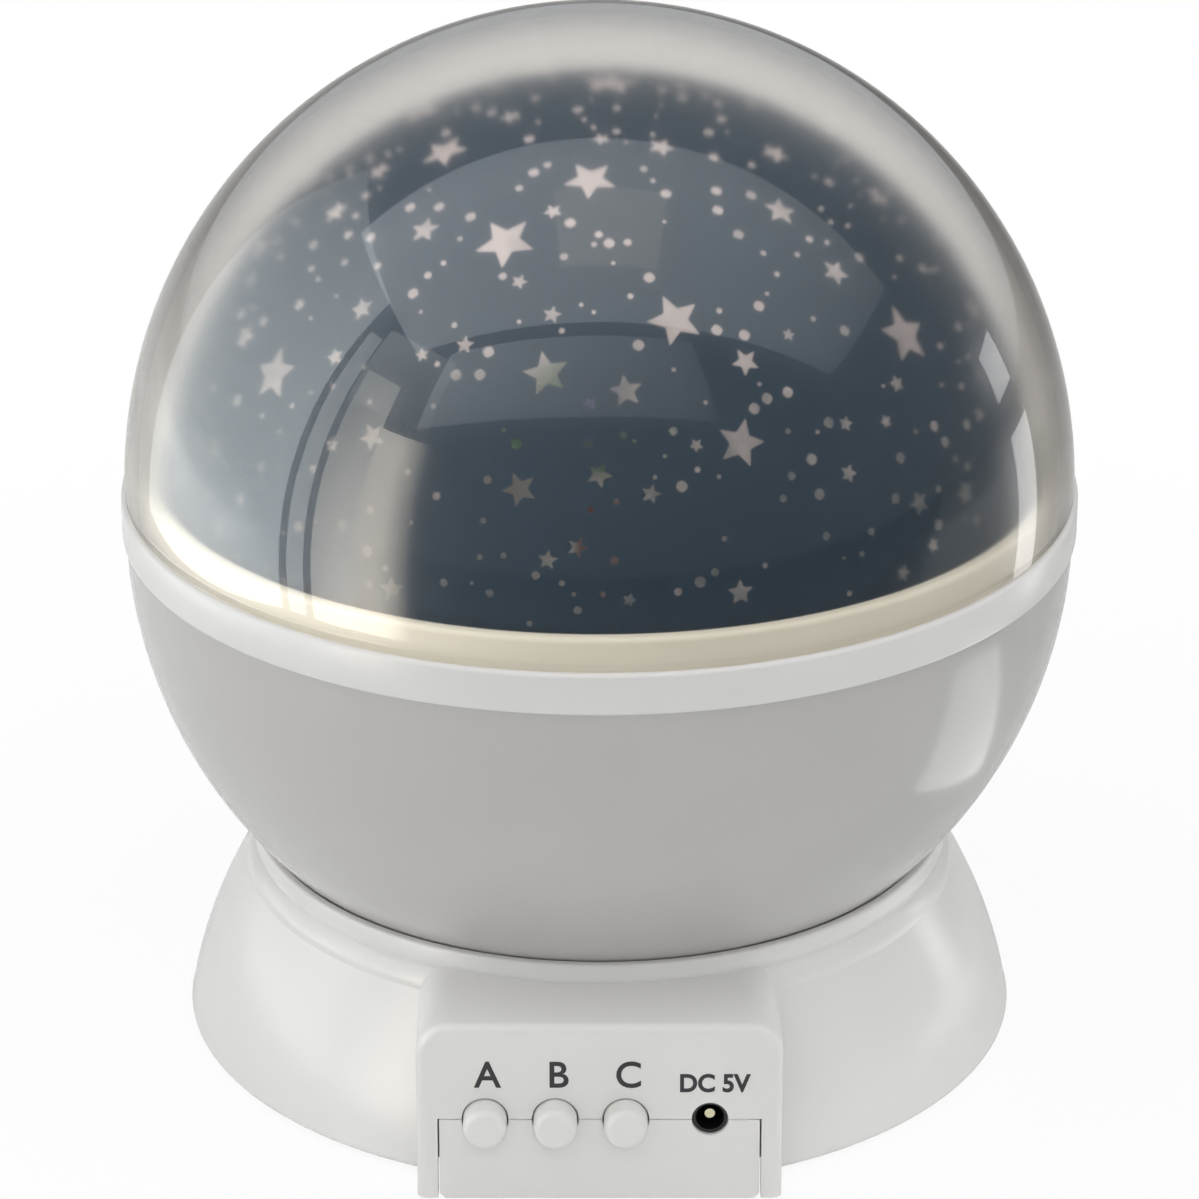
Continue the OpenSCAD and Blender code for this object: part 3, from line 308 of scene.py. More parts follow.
class ProjectorSizes(bpy.types.PropertyGroup):
    """Sizes of the finished surfaces that the construction frame leaves open."""
    round_steps: IntProperty(name="Steps around", description="Facets around the globe", default=192, min=64,
                             max=256)
    housing_wall: FloatProperty(name="Housing wall", description="Wall of the base housing",
                                default=2.0 * MM, min=0.001, max=0.003, unit="LENGTH")
    panel_edge: FloatProperty(name="Panel edge", description="Radius of the edge around the panel's face",
                              default=1.2 * MM, min=0.0005, max=0.002, unit="LENGTH")
    panel_corner: FloatProperty(name="Panel corner", description="Radius of the hood's upper corners",
                                default=4.2 * MM, min=0.002, max=0.006, unit="LENGTH")
    button_edge: FloatProperty(name="Button edge", description="Rounding of a button's front",
                               default=0.95 * MM, min=0.0003, max=0.0015, unit="LENGTH")
    letter_height: FloatProperty(name="Letter height", description="Height of the letters over the buttons",
                                 default=3.75 * MM, min=0.002, max=0.005, unit="LENGTH")


class ProjectorFilm(bpy.types.PropertyGroup):
    """Layout of the star print."""
    seed: IntProperty(name="Seed", description="Start of the random layout", default=11, min=0)
    large_stars: IntProperty(name="Large stars", description="Stars 5 to 8 mm across", default=22, min=0,
                             max=60)
    middle_stars: IntProperty(name="Middle stars", description="Stars 3 to 5 mm across", default=56, min=0,
                              max=150)
    small_stars: IntProperty(name="Small stars", description="Stars about 2 mm across", default=90, min=0,
                             max=300)
    dots: IntProperty(name="Dots", description="Round points of light", default=520, min=0, max=900)


class ProjectorColours(bpy.types.PropertyGroup):
    """Colours of the finished surfaces."""
    white: StringProperty(name="White plastic", description="Base, belt and buttons", default="#dddcda")
    grey: StringProperty(name="Grey plastic", description="Bowl", default="#bab8b6")
    ivory: StringProperty(name="Ivory plastic", description="Ring under the star film", default="#e9e6d8")
    film: StringProperty(name="Film print", description="Dark print of the star film", default="#1a3142")
    # the stars colour is what the clear places show at the top of the film; lower down they are painted
    # darker, as painted light from above
    stars: StringProperty(name="Stars", description="Clear places in the print", default="#dccfce")
    ink: StringProperty(name="Ink", description="Printed letters", default="#2a2a2c")


class ProjectorStage(bpy.types.PropertyGroup):
    """Camera and light."""
    elevation: FloatProperty(name="Camera elevation", description="Angle of the view above the horizon",
                             default=math.radians(23.71), subtype="ANGLE")
    distance: FloatProperty(name="Camera distance", description="From the camera to the point it looks at",
                            default=0.700, min=0.3, unit="LENGTH")
    target_z: FloatProperty(name="Target height", description="Height of the point it looks at",
                            default=0.0581, unit="LENGTH")
    lens: FloatProperty(name="Lens", description="Focal length on a sensor 36 mm wide, in millimetres",
                        default=158.8, min=20)


# ---- materials

def printed_film(name, colour):
    """Printed polyester film: an even dark ink with a soft satin sheen, faintly cloudy where it was laid
    on. Lamplight passes it, so that the inside isn't black."""
    material, tree = new_material(name)
    tint = add(tree, "Mix", data_type="RGBA", Factor=object_noise(tree, 22.0, 5.0, 0.6),
               A=linear(colour, 0.75), B=linear(colour, 1.3))
    bump = add(tree, "Bump", Height=object_noise(tree, 0.4, 2.0), Strength=0.5, Distance=0.01 * MM)
    ink = add(tree, "BsdfPrincipled", Base_Color=tint, Normal=bump, Roughness=0.55, IOR=1.3)
    path = add(tree, "LightPath")
    passing = add(tree, "Math", operation="MULTIPLY", i0=path.outputs["Is Shadow Ray"], i1=0.8)
    straight = add(tree, "BsdfTransparent")
    surface = add(tree, "MixShader", i0=passing, i1=ink, i2=straight)
    add(tree, "OutputMaterial", Surface=surface)
    return material


def frosted_window(name, shaded_low_colour, lit_high_colour, clear, clearest):
    """Unprinted film: a milky patch that scatters light and lets some straight through. Its colour holds
    painted light: it is painted paler towards the top and darker low down, as if lit from above, and it is
    uneven from star to star. It is thinnest at the front, where the lamps and their green board show
    through."""
    material, tree = new_material(name)
    coords = add(tree, "TexCoord").outputs["Object"]
    parts = add(tree, "SeparateXYZ", Vector=coords)
    # painted light: the colour runs from the low colour, darker low on the film, to the high colour, lighter
    # at the top, as if lit from above
    height = add(tree, "MapRange", Value=parts.outputs["Z"], From_Min=FILM_CENTRE + 0.3 * FILM_R,
                 From_Max=FILM_CENTRE + 0.92 * FILM_R)
    uneven = add(tree, "MapRange", Value=object_noise(tree, 7.0, 2.0), From_Min=0.3, From_Max=0.7,
                 To_Min=-0.3, To_Max=0.3)
    painted_top_light = add(tree, "Math", use_clamp=True, i0=height, i1=uneven)
    tint = add(tree, "Mix", data_type="RGBA", Factor=painted_top_light, A=linear(shaded_low_colour), B=linear(lit_high_colour))
    milky = add(tree, "BsdfPrincipled", Base_Color=tint, Roughness=0.4, IOR=1.45)
    front = add(tree, "VectorMath", operation="DISTANCE", i0=coords,
                i1=(-0.005, -0.88 * FILM_R, FILM_CENTRE + 0.42 * FILM_R))
    share = add(tree, "MapRange", Value=front.outputs["Value"], From_Min=9 * MM, From_Max=17 * MM,
                To_Min=clearest, To_Max=clear)
    straight = add(tree, "BsdfTransparent")
    surface = add(tree, "MixShader", i0=share, i1=milky, i2=straight)
    add(tree, "OutputMaterial", Surface=surface)
    return material


def clear_plastic(name):
    """Clear moulded polystyrene: polished outside and mirroring the lights, a little frosted inside. It is
    slightly smoky, which shows along the edges, where the view runs through a lot of plastic, and its
    faint milkiness grows there too. Lamps shine straight through it, so what is under it is lit evenly."""
    material, tree = new_material(name)
    coords = add(tree, "TexCoord")
    reach = add(tree, "VectorMath", operation="DISTANCE", i0=coords.outputs["Object"],
                i1=(0, 0, COVER_CENTRE))
    inside = add(tree, "MapRange", Value=reach.outputs["Value"], From_Min=COVER_R - 0.6 * MM,
                 From_Max=COVER_R - 1.2 * MM)
    frost = add(tree, "MapRange", Value=inside, To_Min=0.0, To_Max=0.16)
    bump = add(tree, "Bump", Height=object_noise(tree, 9.0, 1.0), Strength=1.0, Distance=0.006 * MM)
    glass = add(tree, "BsdfPrincipled", Normal=bump, Roughness=frost, Base_Color=linear("#ffffff"),
                IOR=1.55, Transmission_Weight=1.0)
    slant = add(tree, "LayerWeight", Blend=0.5)
    depth = add(tree, "MapRange", Value=slant.outputs["Facing"], From_Min=1.03, From_Max=0.03)
    haze = add(tree, "MapRange", Value=inside, To_Min=0.006, To_Max=0.014)
    milk = add(tree, "Math", operation="DIVIDE", use_clamp=True, i0=haze, i1=depth)
    scatter = add(tree, "BsdfDiffuse", Color=linear("#e8dcd0"))
    seen = add(tree, "MixShader", i0=milk, i1=glass, i2=scatter)
    straight = add(tree, "BsdfTransparent", Color=linear("#f6f6f4"))
    path = add(tree, "LightPath")
    surface = add(tree, "MixShader", i0=path.outputs["Is Shadow Ray"], i1=seen, i2=straight)
    smoke = add(tree, "VolumeAbsorption", Color=linear("#ead8cb"), Density=60.0)
    add(tree, "OutputMaterial", Surface=surface, Volume=smoke)
    return material


def tinted_epoxy(name, colour):
    """Clear epoxy of a lamp, tinted through, with a glossy domed tip."""
    material, tree = new_material(name)
    rough = add(tree, "MapRange", Value=object_noise(tree, 1.5, 2.0), To_Min=0.05, To_Max=0.12)
    surface = add(tree, "BsdfPrincipled", Roughness=rough, Base_Color=linear(colour), IOR=1.53,
                  Transmission_Weight=0.6)
    add(tree, "OutputMaterial", Surface=surface)
    return material


def solder_mask(name):
    """Circuit board: green lacquer over copper tracks, glossy, with the tracks showing as paler lines."""
    material, tree = new_material(name)
    coords = add(tree, "TexCoord")
    tracks = add(tree, "TexWave", Vector=coords.outputs["Object"], Scale=260.0, Distortion=6.0, Detail=1.0)
    line = add(tree, "MapRange", Value=tracks.outputs["Fac"], From_Min=0.55, From_Max=0.6)
    tint = add(tree, "Mix", data_type="RGBA", Factor=line, A=linear("#0f5c33"), B=linear("#2a8a54"))
    bump = add(tree, "Bump", Height=line, Strength=0.5, Distance=0.03 * MM)
    surface = add(tree, "BsdfPrincipled", Base_Color=tint, Normal=bump, Roughness=0.25, IOR=1.5)
    add(tree, "OutputMaterial", Surface=surface)
    return material


MATERIALS = {}


def make_materials(colours):
    """All finishes, by short name."""
    MATERIALS.update(
        # moulded ABS of the outside: even and glossy, and glossiest on the bowl, which is polished
        white=moulded_plastic("glossy_white_abs", colours.white, 0.22, bevel_mm=0.25),
        white_shell=moulded_plastic("glossy_white_abs_shell", colours.white, 0.22),
        grey=moulded_plastic("glossy_grey_abs", colours.grey, 0.16, coat=0.3),
        belt=moulded_plastic("white_belt_abs", colours.white, 0.24),
        # polypropylene: waxy and a little yellow
        ivory=moulded_plastic("ivory_polypropylene", colours.ivory, 0.42),
        print_ink=printed_film("star_film_ink", colours.film),
        # painted light: the windows are painted #565e64 low on the film and the stars colour at the top, as
        # if lit from above
        window=frosted_window("star_film_window", "#565e64", colours.stars, 0.3, 0.95),
        film_base=frosted_window("clear_film_base", "#5a646a", "#5a646a", 0.85, 0.98),
        cover=clear_plastic("clear_polystyrene"),
        button=moulded_plastic("button_abs", "#dddcd9", 0.3),
        # pad-printed ink: dull and slightly uneven
        ink=moulded_plastic("pad_print_ink", colours.ink, 0.5, mottle=0.1),
        # dyed nylon: dark, with a satin sheen
        black=moulded_plastic("black_nylon", "#141415", 0.4, bevel_mm=0.1),
        dark=moulded_plastic("switch_nylon", "#1b2130", 0.4, bevel_mm=0.15),
        # moulded rubber: dull, with a coarse skin
        rubber=moulded_plastic("foot_rubber", "#262627", 0.75, ripple_mm=0.03, grain_mm=0.3),
        # undyed acetal and nylon: creamy, with a satin sheen
        gear=moulded_plastic("gear_acetal", "#e4dfcd", 0.35),
        plunger=moulded_plastic("plunger_nylon", "#dcdbd5", 0.4),
        steel=metal("zinc_plated_steel", "#c4c6c9", 0.28),
        spring=metal("nickel_plated_spring_steel", "#cfcfce", 0.2),
        brass=metal("nickelled_brass", "#d9d2b4", 0.15),
        board=solder_mask("green_solder_mask"),
        # shrunk film of cells and capacitor: thin and shiny
        cell=moulded_plastic("cell_sleeve_film", "#3c4a33", 0.3, bevel_mm=0.3),
        sleeve_blue=moulded_plastic("capacitor_sleeve", "#31496d", 0.35),
        lamp_white=tinted_epoxy("warm_white_epoxy", "#f4efdc"),
        lamp_red=tinted_epoxy("red_epoxy", "#d8382c"),
        lamp_green=tinted_epoxy("green_epoxy", "#35b455"),
        lamp_blue=tinted_epoxy("blue_epoxy", "#3653d6"),
        # soft PVC of the leads: a dull shine
        lead_red=moulded_plastic("lead_pvc_red", "#b3231d", 0.4),
    )


NODE_FINISH = {
    "white": ("base_cover", "battery_door", "lamp_stem"),
    "grey": ("globe_hub",),
    "rubber": ("rubber_feet",),
    "steel": ("cover_screws", "board_screws", "door_screw", "motor_screws", "gear_screws", "stem_screws",
              "lamp_screws", "motor_can", "motor_clamp", "motor_shaft"),
    "spring": ("battery_springs", "contact_plates"),
    "brass": ("jack_pin",),
    "board": ("control_board", "lamp_board"),
    "black": ("driver_chip", "jack_body"),
    "sleeve_blue": ("capacitor",),
    "dark": ("light_switch", "colour_switch", "rotate_switch"),
    "plunger": ("light_plunger", "colour_plunger", "rotate_plunger"),
    "cell": ("battery_cell_1", "battery_cell_2", "battery_cell_3", "battery_cell_4"),
    "gear": ("gearbox", "drive_pinion", "drive_gear", "hub_bush"),
    "lamp_white": ("led_warm_white",),
    "lamp_red": ("led_red",),
    "lamp_green": ("led_green",),
    "lamp_blue": ("led_blue",),
    "lead_red": ("led_leads", "motor_leads", "battery_leads"),
}


class PROJECTOR_OT_finishes(bpy.types.Operator):
    """Makes the materials and gives them to the construction nodes that stay in sight"""
    bl_idname = "projector.finishes"
    bl_label = "Finishes"

    def execute(self, context):
        make_materials(context.scene.projector_colours)
        for finish, nodes in NODE_FINISH.items():
            for node in nodes:
                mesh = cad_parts[node].data
                mesh.materials.clear()
                mesh.materials.append(MATERIALS[finish])
        return {"FINISHED"}


# ---- globe

class PROJECTOR_OT_bowl(bpy.types.Operator):
    """Light grey bowl: a hollow sphere cut flat at the bottom, with a round hole for the hub"""
    bl_idname = "projector.bowl"
    bl_label = "Bowl"

    def execute(self, context):
        floor_z = low("bowl").z
        hole_r = high("hub_bush").x - 5.5 * MM
        edge = 0.7 * MM
        foot_r = math.sqrt(COVER_R ** 2 - (floor_z - BOWL_CENTRE) ** 2)
        foot = arc(foot_r - edge, floor_z + edge, edge, -90, -10, 5)
        outside = sphere_arc(BOWL_CENTRE, COVER_R, floor_z + edge, BELT_Z, 90)
        inside = sphere_arc(BOWL_CENTRE, COVER_R - BOWL_WALL, BELT_Z, floor_z + BOWL_WALL, 60)
        hole = np.array([[hole_r, floor_z + BOWL_WALL], [hole_r, floor_z]])
        section = np.vstack([hole, foot, outside, inside])
        turned("bowl_shell", [section], "globe", "grey", "bowl")
        return {"FINISHED"}


class PROJECTOR_OT_belt(bpy.types.Operator):
    """White belt between bowl and cover: a turned ring with softened edges and a groove for the cover"""
    bl_idname = "projector.belt"
    bl_label = "Belt"

    def execute(self, context):
        groove_in, groove_out, groove_z = COVER_R - 2.1 * MM, COVER_R - 0.5 * MM, BELT_TOP - 2.3 * MM
        inner_r = groove_in - 2.3 * MM
        skirt_r = math.sqrt((COVER_R - BOWL_WALL) ** 2 - (3.4 * MM) ** 2) - 0.3 * MM
        skirt_in, skirt_z = skirt_r - 1.2 * MM, low("belt_ring").z
        section = soft_corners([
            (inner_r, BELT_Z, 0), (skirt_in, BELT_Z, 0), (skirt_in, skirt_z, 0.2 * MM),
            (skirt_r, skirt_z, 0.2 * MM), (skirt_r, BELT_Z, 0), (BELT_R, BELT_Z, 0.5 * MM),
            (BELT_R, BELT_TOP, 0.55 * MM), (groove_out, BELT_TOP, 0.1 * MM), (groove_out, groove_z, 0),
            (groove_in, groove_z, 0), (groove_in, STEP_Z, 0), (inner_r, STEP_Z, 0)])
        turned("belt", [section], "globe", "belt", "belt_ring")
        return {"FINISHED"}


class PROJECTOR_OT_seat_ring(bpy.types.Operator):
    """Ivory ring that the star film stands in: a turned L section with a soft upper edge"""
    bl_idname = "projector.seat_ring"
    bl_label = "Seat ring"

    def execute(self, context):
        ledge_in, lip_in = FILM_R - 3.7 * MM, SEAT_R - 1.8 * MM
        skirt_out, skirt_z = COVER_R - 4.6 * MM, low("film_seat_ring").z
        skirt_in = skirt_out - 1.3 * MM
        section = soft_corners([
            (ledge_in, STEP_Z, 0), (skirt_in, STEP_Z, 0), (skirt_in, skirt_z, 0.2 * MM),
            (skirt_out, skirt_z, 0.2 * MM), (skirt_out, STEP_Z, 0), (SEAT_R, STEP_Z, 0),
            (SEAT_R, SEAT_TOP, 0.7 * MM), (lip_in, SEAT_TOP, 0.4 * MM), (lip_in, FILM_LOW, 0),
            (ledge_in, FILM_LOW, 0)])
        turned("seat_ring", [section], "globe", "ivory", "film_seat_ring")
        return {"FINISHED"}


class PROJECTOR_OT_cover(bpy.types.Operator):
    """Clear cover: a hollow hemisphere of polished plastic with a spigot that drops into the belt"""
    bl_idname = "projector.cover"
    bl_label = "Cover"

    def execute(self, context):
        inner, edge = COVER_R - COVER_WALL, 0.3 * MM
        spigot_out, spigot_z = inner + 1 * MM, low("clear_cover").z
        rim = arc(COVER_R - edge, BELT_TOP + edge, edge, -90, 0, 4)
        dome = sphere_arc(COVER_CENTRE, COVER_R, BELT_TOP + 0.35 * MM, COVER_CENTRE + COVER_R, 100)
        outside = np.vstack([rim, dome])
        spigot = np.array([[inner, BELT_TOP], [inner, spigot_z], [spigot_out, spigot_z],
                           [spigot_out, BELT_TOP], [COVER_R - edge, BELT_TOP]])
        inside = np.vstack([sphere_arc(COVER_CENTRE, inner, COVER_CENTRE + inner, BELT_TOP, 100), spigot])
        outside[-1, 0] = inside[0, 0] = 0
        turned("cover_shell", [outside, inside], "cover", "cover", "clear_cover")
        return {"FINISHED"}


def star_outline(radius, turn, waist=0.46, points=5):
    """Corners of a star: tips at radius, notches at waist times radius, turned by an angle."""
    angles = turn + np.arange(2 * points) * math.pi / points
    reach = np.where(np.arange(2 * points) % 2 == 0, radius, radius * waist)
    return np.column_stack([reach * np.cos(angles), reach * np.sin(angles)])


TRIES = 400  # for each figure of the print


def scattered(rng, sizes, limit, placed, margin):
    """Adds random directions on the dome for figures of these radii to those placed, none closer than
    its neighbours' radii and a margin: each try is kept if it is clear of all that are placed."""
    for radius in sizes:
        for _ in range(TRIES):
            height = rng.uniform(math.cos(limit - radius / FILM_R * 1.3), 1.0)
            turn = rng.uniform(0, 2 * math.pi)
            side = math.sqrt(1 - height * height)
            spot = np.array([side * math.cos(turn), side * math.sin(turn), height])
            if all(np.linalg.norm(spot - other) * FILM_R > radius + size + margin
                   for other, size, _ in placed):
                placed.append((spot, radius, rng.uniform(0, 2 * math.pi)))
                break


def on_dome(spot, outline):
    """A flat outline laid on the dome around a direction: the dome's own directions of its points."""
    side = np.cross([0.0, 0.0, 1.0], spot)
    side = side / np.linalg.norm(side) if np.linalg.norm(side) > 1e-6 else np.array([1.0, 0.0, 0.0])
    up = np.cross(spot, side)
    points = spot * FILM_R + outline[:, :1] * side + outline[:, 1:] * up
    return points / np.linalg.norm(points, axis=1, keepdims=True)


def flattened(directions):
    """Plane coordinates of directions on the dome: the distance from the top is the arc's angle."""
    angle = np.arccos(np.clip(directions[:, 2], -1, 1))
    turn = np.arctan2(directions[:, 1], directions[:, 0])
    return np.column_stack([angle * np.cos(turn), angle * np.sin(turn)])


def raised(flat):
    """The inverse of flattened: points on the film's outside."""
    angle = np.linalg.norm(flat, axis=1)
    turn = np.arctan2(flat[:, 1], flat[:, 0])
    return np.column_stack([FILM_R * np.sin(angle) * np.cos(turn), FILM_R * np.sin(angle) * np.sin(turn),
                            FILM_CENTRE + FILM_R * np.cos(angle)])


def outward(piece):
    """Turns the faces of an open dome so that they point away from its centre."""
    shape = bmesh.new()
    shape.from_mesh(piece.data)
    centre = Vector((0, 0, FILM_CENTRE))
    wrong = [face for face in shape.faces if face.normal.dot(face.calc_center_median() - centre) < 0]
    bmesh.ops.reverse_faces(shape, faces=wrong)
    shape.to_mesh(piece.data)
    shape.free()


class PROJECTOR_OT_film(bpy.types.Operator):
    """Star film: a thin dome whose dark print leaves stars and dots clear, on a clear base"""
    bl_idname = "projector.film"
    bl_label = "Star film"

    def execute(self, context):
        film = context.scene.projector_film
        steps = context.scene.projector_sizes.round_steps
        rng = np.random.default_rng(film.seed)
        limit = math.acos((FILM_LOW - FILM_CENTRE) / FILM_R)
        print_limit = math.acos((SEAT_TOP - 0.6 * MM - FILM_CENTRE) / FILM_R)
        figures = []
        # for each size of star: least and largest radius in mm, number, reach from the top, margin in mm
        for least, most, count, reach, margin in ((2.7, 4.1, film.large_stars, math.radians(66), 5.0),
                                                  (1.6, 2.3, film.middle_stars, print_limit, 2.6),
                                                  (0.9, 1.3, film.small_stars, print_limit, 1.2)):
            scattered(rng, rng.uniform(least, most, count) * MM, reach, figures, margin * MM)
        star_count = len(figures)
        scattered(rng, rng.choice([0.3, 0.4, 0.55, 0.75], film.dots) * MM, print_limit, figures, 0.5 * MM)
        dot = star_outline(1.0, 0.0, math.cos(math.pi / 8), 4)
        outlines = [flattened(on_dome(spot, star_outline(radius, turn) if i < star_count else dot * radius))
                    for i, (spot, radius, turn) in enumerate(figures)]
        # rings of points over the whole dome, which the stars' outlines are laid into
        grid = [np.zeros((1, 2))]
        for angle in np.linspace(0, limit, 65)[1:]:
            count = max(6, int(round(steps * math.sin(angle))))
            turn = np.arange(count) * 2 * math.pi / count
            grid.append(angle * np.column_stack([np.cos(turn), np.sin(turn)]))
        points = [Vector(p) for p in np.vstack(outlines + grid)]
        ends = np.cumsum([0] + [len(outline) for outline in outlines])
        faces = [list(range(start, end)) for start, end in zip(ends, ends[1:])]
        flat, _, cells, _, _, origin = delaunay_2d_cdt(points, [], faces, 0, 1e-7)
        dome = raised(np.array([tuple(p) for p in flat]))
        window_cells = [cell for cell, source in zip(cells, origin) if source]
        print_cells = [cell for cell, source in zip(cells, origin) if not source]
        piece = build("star_film", [(dome, print_cells, 0), (dome, window_cells, 1)], "globe",
                      ["print_ink", "window"], "film_dome", closed=False, sharp=180)
        outward(piece)
        # the clear base, closed, just under the print
        outer_r, inner_r = FILM_R - 0.12 * MM, FILM_R - 1.0 * MM
        over = sphere_arc(FILM_CENTRE, outer_r, FILM_LOW, FILM_CENTRE + outer_r, 60)
        under = np.vstack([sphere_arc(FILM_CENTRE, inner_r, FILM_CENTRE + inner_r, FILM_LOW, 60), over[:1]])
        over[-1, 0] = under[0, 0] = 0
        turned("film_base", [over, under], "globe", "film_base", "film_dome")
        return {"FINISHED"}


# ---- base

def flare_radius(z):
    """Outer radius of the flared side: straight from rim to shoulder, with a slight parabolic bulge."""
    t = (np.asarray(z, float) - RIM_Z) / (SHOULDER_Z - SHOULDER_ROUND - RIM_Z)
    return BASE_R + (SHOULDER_R - BASE_R) * t + 4 * FLARE_BULGE * t * (1 - t)


def upper_ring(steps):
    """The housing from the deck's underside to the collar, all the way round."""
    side_top = SHOULDER_Z - SHOULDER_ROUND
    side = [(flare_radius(z), z) for z in np.linspace(DECK_LOW, side_top, 6)]
    shoulder = arc(float(flare_radius(side_top)) - SHOULDER_ROUND, side_top, SHOULDER_ROUND, 12, 58, 12)
    collar = soft_corners([
        (*shoulder[-1], 0), (COLLAR_OUT + 0.3 * MM, SHOULDER_Z + 0.6 * MM, 1.6 * MM),
        (COLLAR_OUT, BASE_TOP, 0.45 * MM), (COLLAR_LIP, BASE_TOP, 0.12 * MM),
        (COLLAR_LIP, BASE_TOP - 0.5 * MM, 0.12 * MM), (COLLAR_IN, BASE_TOP - 0.8 * MM, 0),
        (COLLAR_IN, DECK_TOP, 0.3 * MM)], 6)
    hole_r = high("hub_bush").x - 3.95 * MM
    section = np.vstack([side, shoulder, collar[1:-1], [[hole_r, DECK_TOP], [hole_r, DECK_LOW]]])
    return *revolved(section, steps), 0


def skirt(steps, wall):
    """The flared side under the deck. It is open at the front between the hood's walls: at each radius it
    starts at the angle whose sine is half the hood's inner width over that radius."""
    rows = np.linspace(RIM_Z, DECK_LOW, 28)
    outside = np.column_stack([flare_radius(rows), rows])
    inside = np.column_stack([flare_radius(rows) - wall, rows])[::-1]
    out_r, in_r, foot_top = outside[0, 0], inside[-1, 0], RIM_Z + 2 * MM
    foot = soft_corners([(out_r, RIM_Z, 0.35 * MM), (in_r, RIM_Z, 0.35 * MM), (in_r, foot_top, 0),
                         (out_r, foot_top, 0)])
    section = np.vstack([inside[:-1], foot[5:10][::-1], foot[:5][::-1], outside[1:]])
    start = np.arcsin((HOOD_HALF - wall) / section[:, :1])
    turn = start + (2 * math.pi - 2 * start) * np.linspace(0, 1, steps)
    points = np.stack([section[:, :1] * np.sin(turn), -section[:, :1] * np.cos(turn),
                       np.repeat(section[:, 1:], steps, axis=1)], axis=-1)
    ends = [(column, [list(range(len(column)))], 0) for column in (points[:, 0], points[:, -1])]
    return [(points, grid_faces(len(section), steps, True), 0), *ends]


def unit(vectors):
    """Vectors scaled to length one."""
    return vectors / np.linalg.norm(vectors, axis=-1, keepdims=True)


def hood(edge, corner, wall):
    """An arch-shaped wall from the flared side to the face, and the face with its cut-outs."""
    centre_x, side_top = HOOD_HALF - corner, HOOD_TOP - corner
    left = np.array([[-HOOD_HALF, z] for z in np.linspace(RIM_Z, side_top, 12)])
    left_bend = arc(-centre_x, side_top, corner, 180, 90, 13)
    roof = np.array([[x, HOOD_TOP] for x in np.linspace(-centre_x, centre_x, 25)])[1:-1]
    right_bend = arc(centre_x, side_top, corner, 90, 0, 13)
    right = left[::-1] * [-1, 1]
    arch = np.vstack([left[:-1], left_bend, roof, right_bend, right[1:]])
    inward = np.vstack([np.repeat([[1.0, 0.0]], len(left) - 1, 0), unit([-centre_x, side_top] - left_bend),
                        np.repeat([[0.0, -1.0]], len(roof), 0), unit([centre_x, side_top] - right_bend),
                        np.repeat([[-1.0, 0.0]], len(right) - 1, 0)])
    # outer skin: from inside the flared side or the collar, forwards, and round the edge of the face
    seat = np.where(arch[:, 1] < SHOULDER_Z - 0.5 * MM, flare_radius(arch[:, 1]) - wall / 2,
                    COLLAR_OUT - 0.5 * MM)
    back = -np.sqrt(seat ** 2 - arch[:, 0] ** 2)
    front = PANEL_Y + edge
    skin = np.stack([upright(arch, back + (front - back) * t) for t in np.linspace(0, 1, 10)] +
                    [upright(arch + inward * edge * (1 - math.cos(a)), front - edge * math.sin(a))
                     for a in np.radians(np.linspace(0, 90, 8))[1:]])
    # lining: one wall further in, and no higher than the deck's underside
    depths = (PANEL_Y, PANEL_Y + wall)
    inner = arch + inward * wall
    inner[:, 1] = np.minimum(inner[:, 1], DECK_LOW)
    lining = np.stack([upright(inner, back), upright(inner, depths[1])])
    parts = [(skin, grid_faces(*skin.shape[:2]), 0), (lining, grid_faces(2, len(arch)), 0),
             (np.stack([skin[0], lining[0]]), grid_faces(2, len(arch)), 0)]
    # face and its back: the arch, then along the gap for the tab and the upper halves of the holes
    holes = [(middle(node).x, HOLE_R) for node in BUTTON_NODES] + [(middle("jack_body").x, NOSE_HOLE_R)]
    cut = np.vstack([[[TAB_HALF, RIM_Z], [TAB_HALF, BUTTON_Z]],
                     *[arc(x, BUTTON_Z, radius, 0, 180, 25) for x, radius in reversed(holes)],
                     [[-TAB_HALF, BUTTON_Z], [-TAB_HALF, RIM_Z]]])
    for border, y in zip((skin[-1], lining[1]), depths):
        parts.append((*capped(np.vstack([border[:, [0, 2]], cut]), y), 0))
    parts.append((np.stack([upright(cut, y) for y in depths]), grid_faces(2, len(cut)), 0))
    # undersides of the two legs
    for end, side in ((0, -1), (-1, 1)):
        leg = np.vstack([skin[:, end], [[side * TAB_HALF, y, RIM_Z] for y in depths], lining[::-1, end]])
        parts.append((leg, [list(range(len(leg)))], 0))
    return parts


class PROJECTOR_OT_housing(bpy.types.Operator):
    """White base housing: a flared shell with its collar, and the panel hood that grows out of it"""
    bl_idname = "projector.housing"
    bl_label = "Housing"

    def execute(self, context):
        sizes = context.scene.projector_sizes
        steps, wall = sizes.round_steps, sizes.housing_wall
        build("housing_flare", [upper_ring(steps), *skirt(steps, wall)], "base",
              ["white_shell"], "base_housing", sharp=40)
        build("housing_hood", hood(sizes.panel_edge, sizes.panel_corner, wall), "base",
              ["white_shell"], "base_housing", sharp=30)
        return {"FINISHED"}


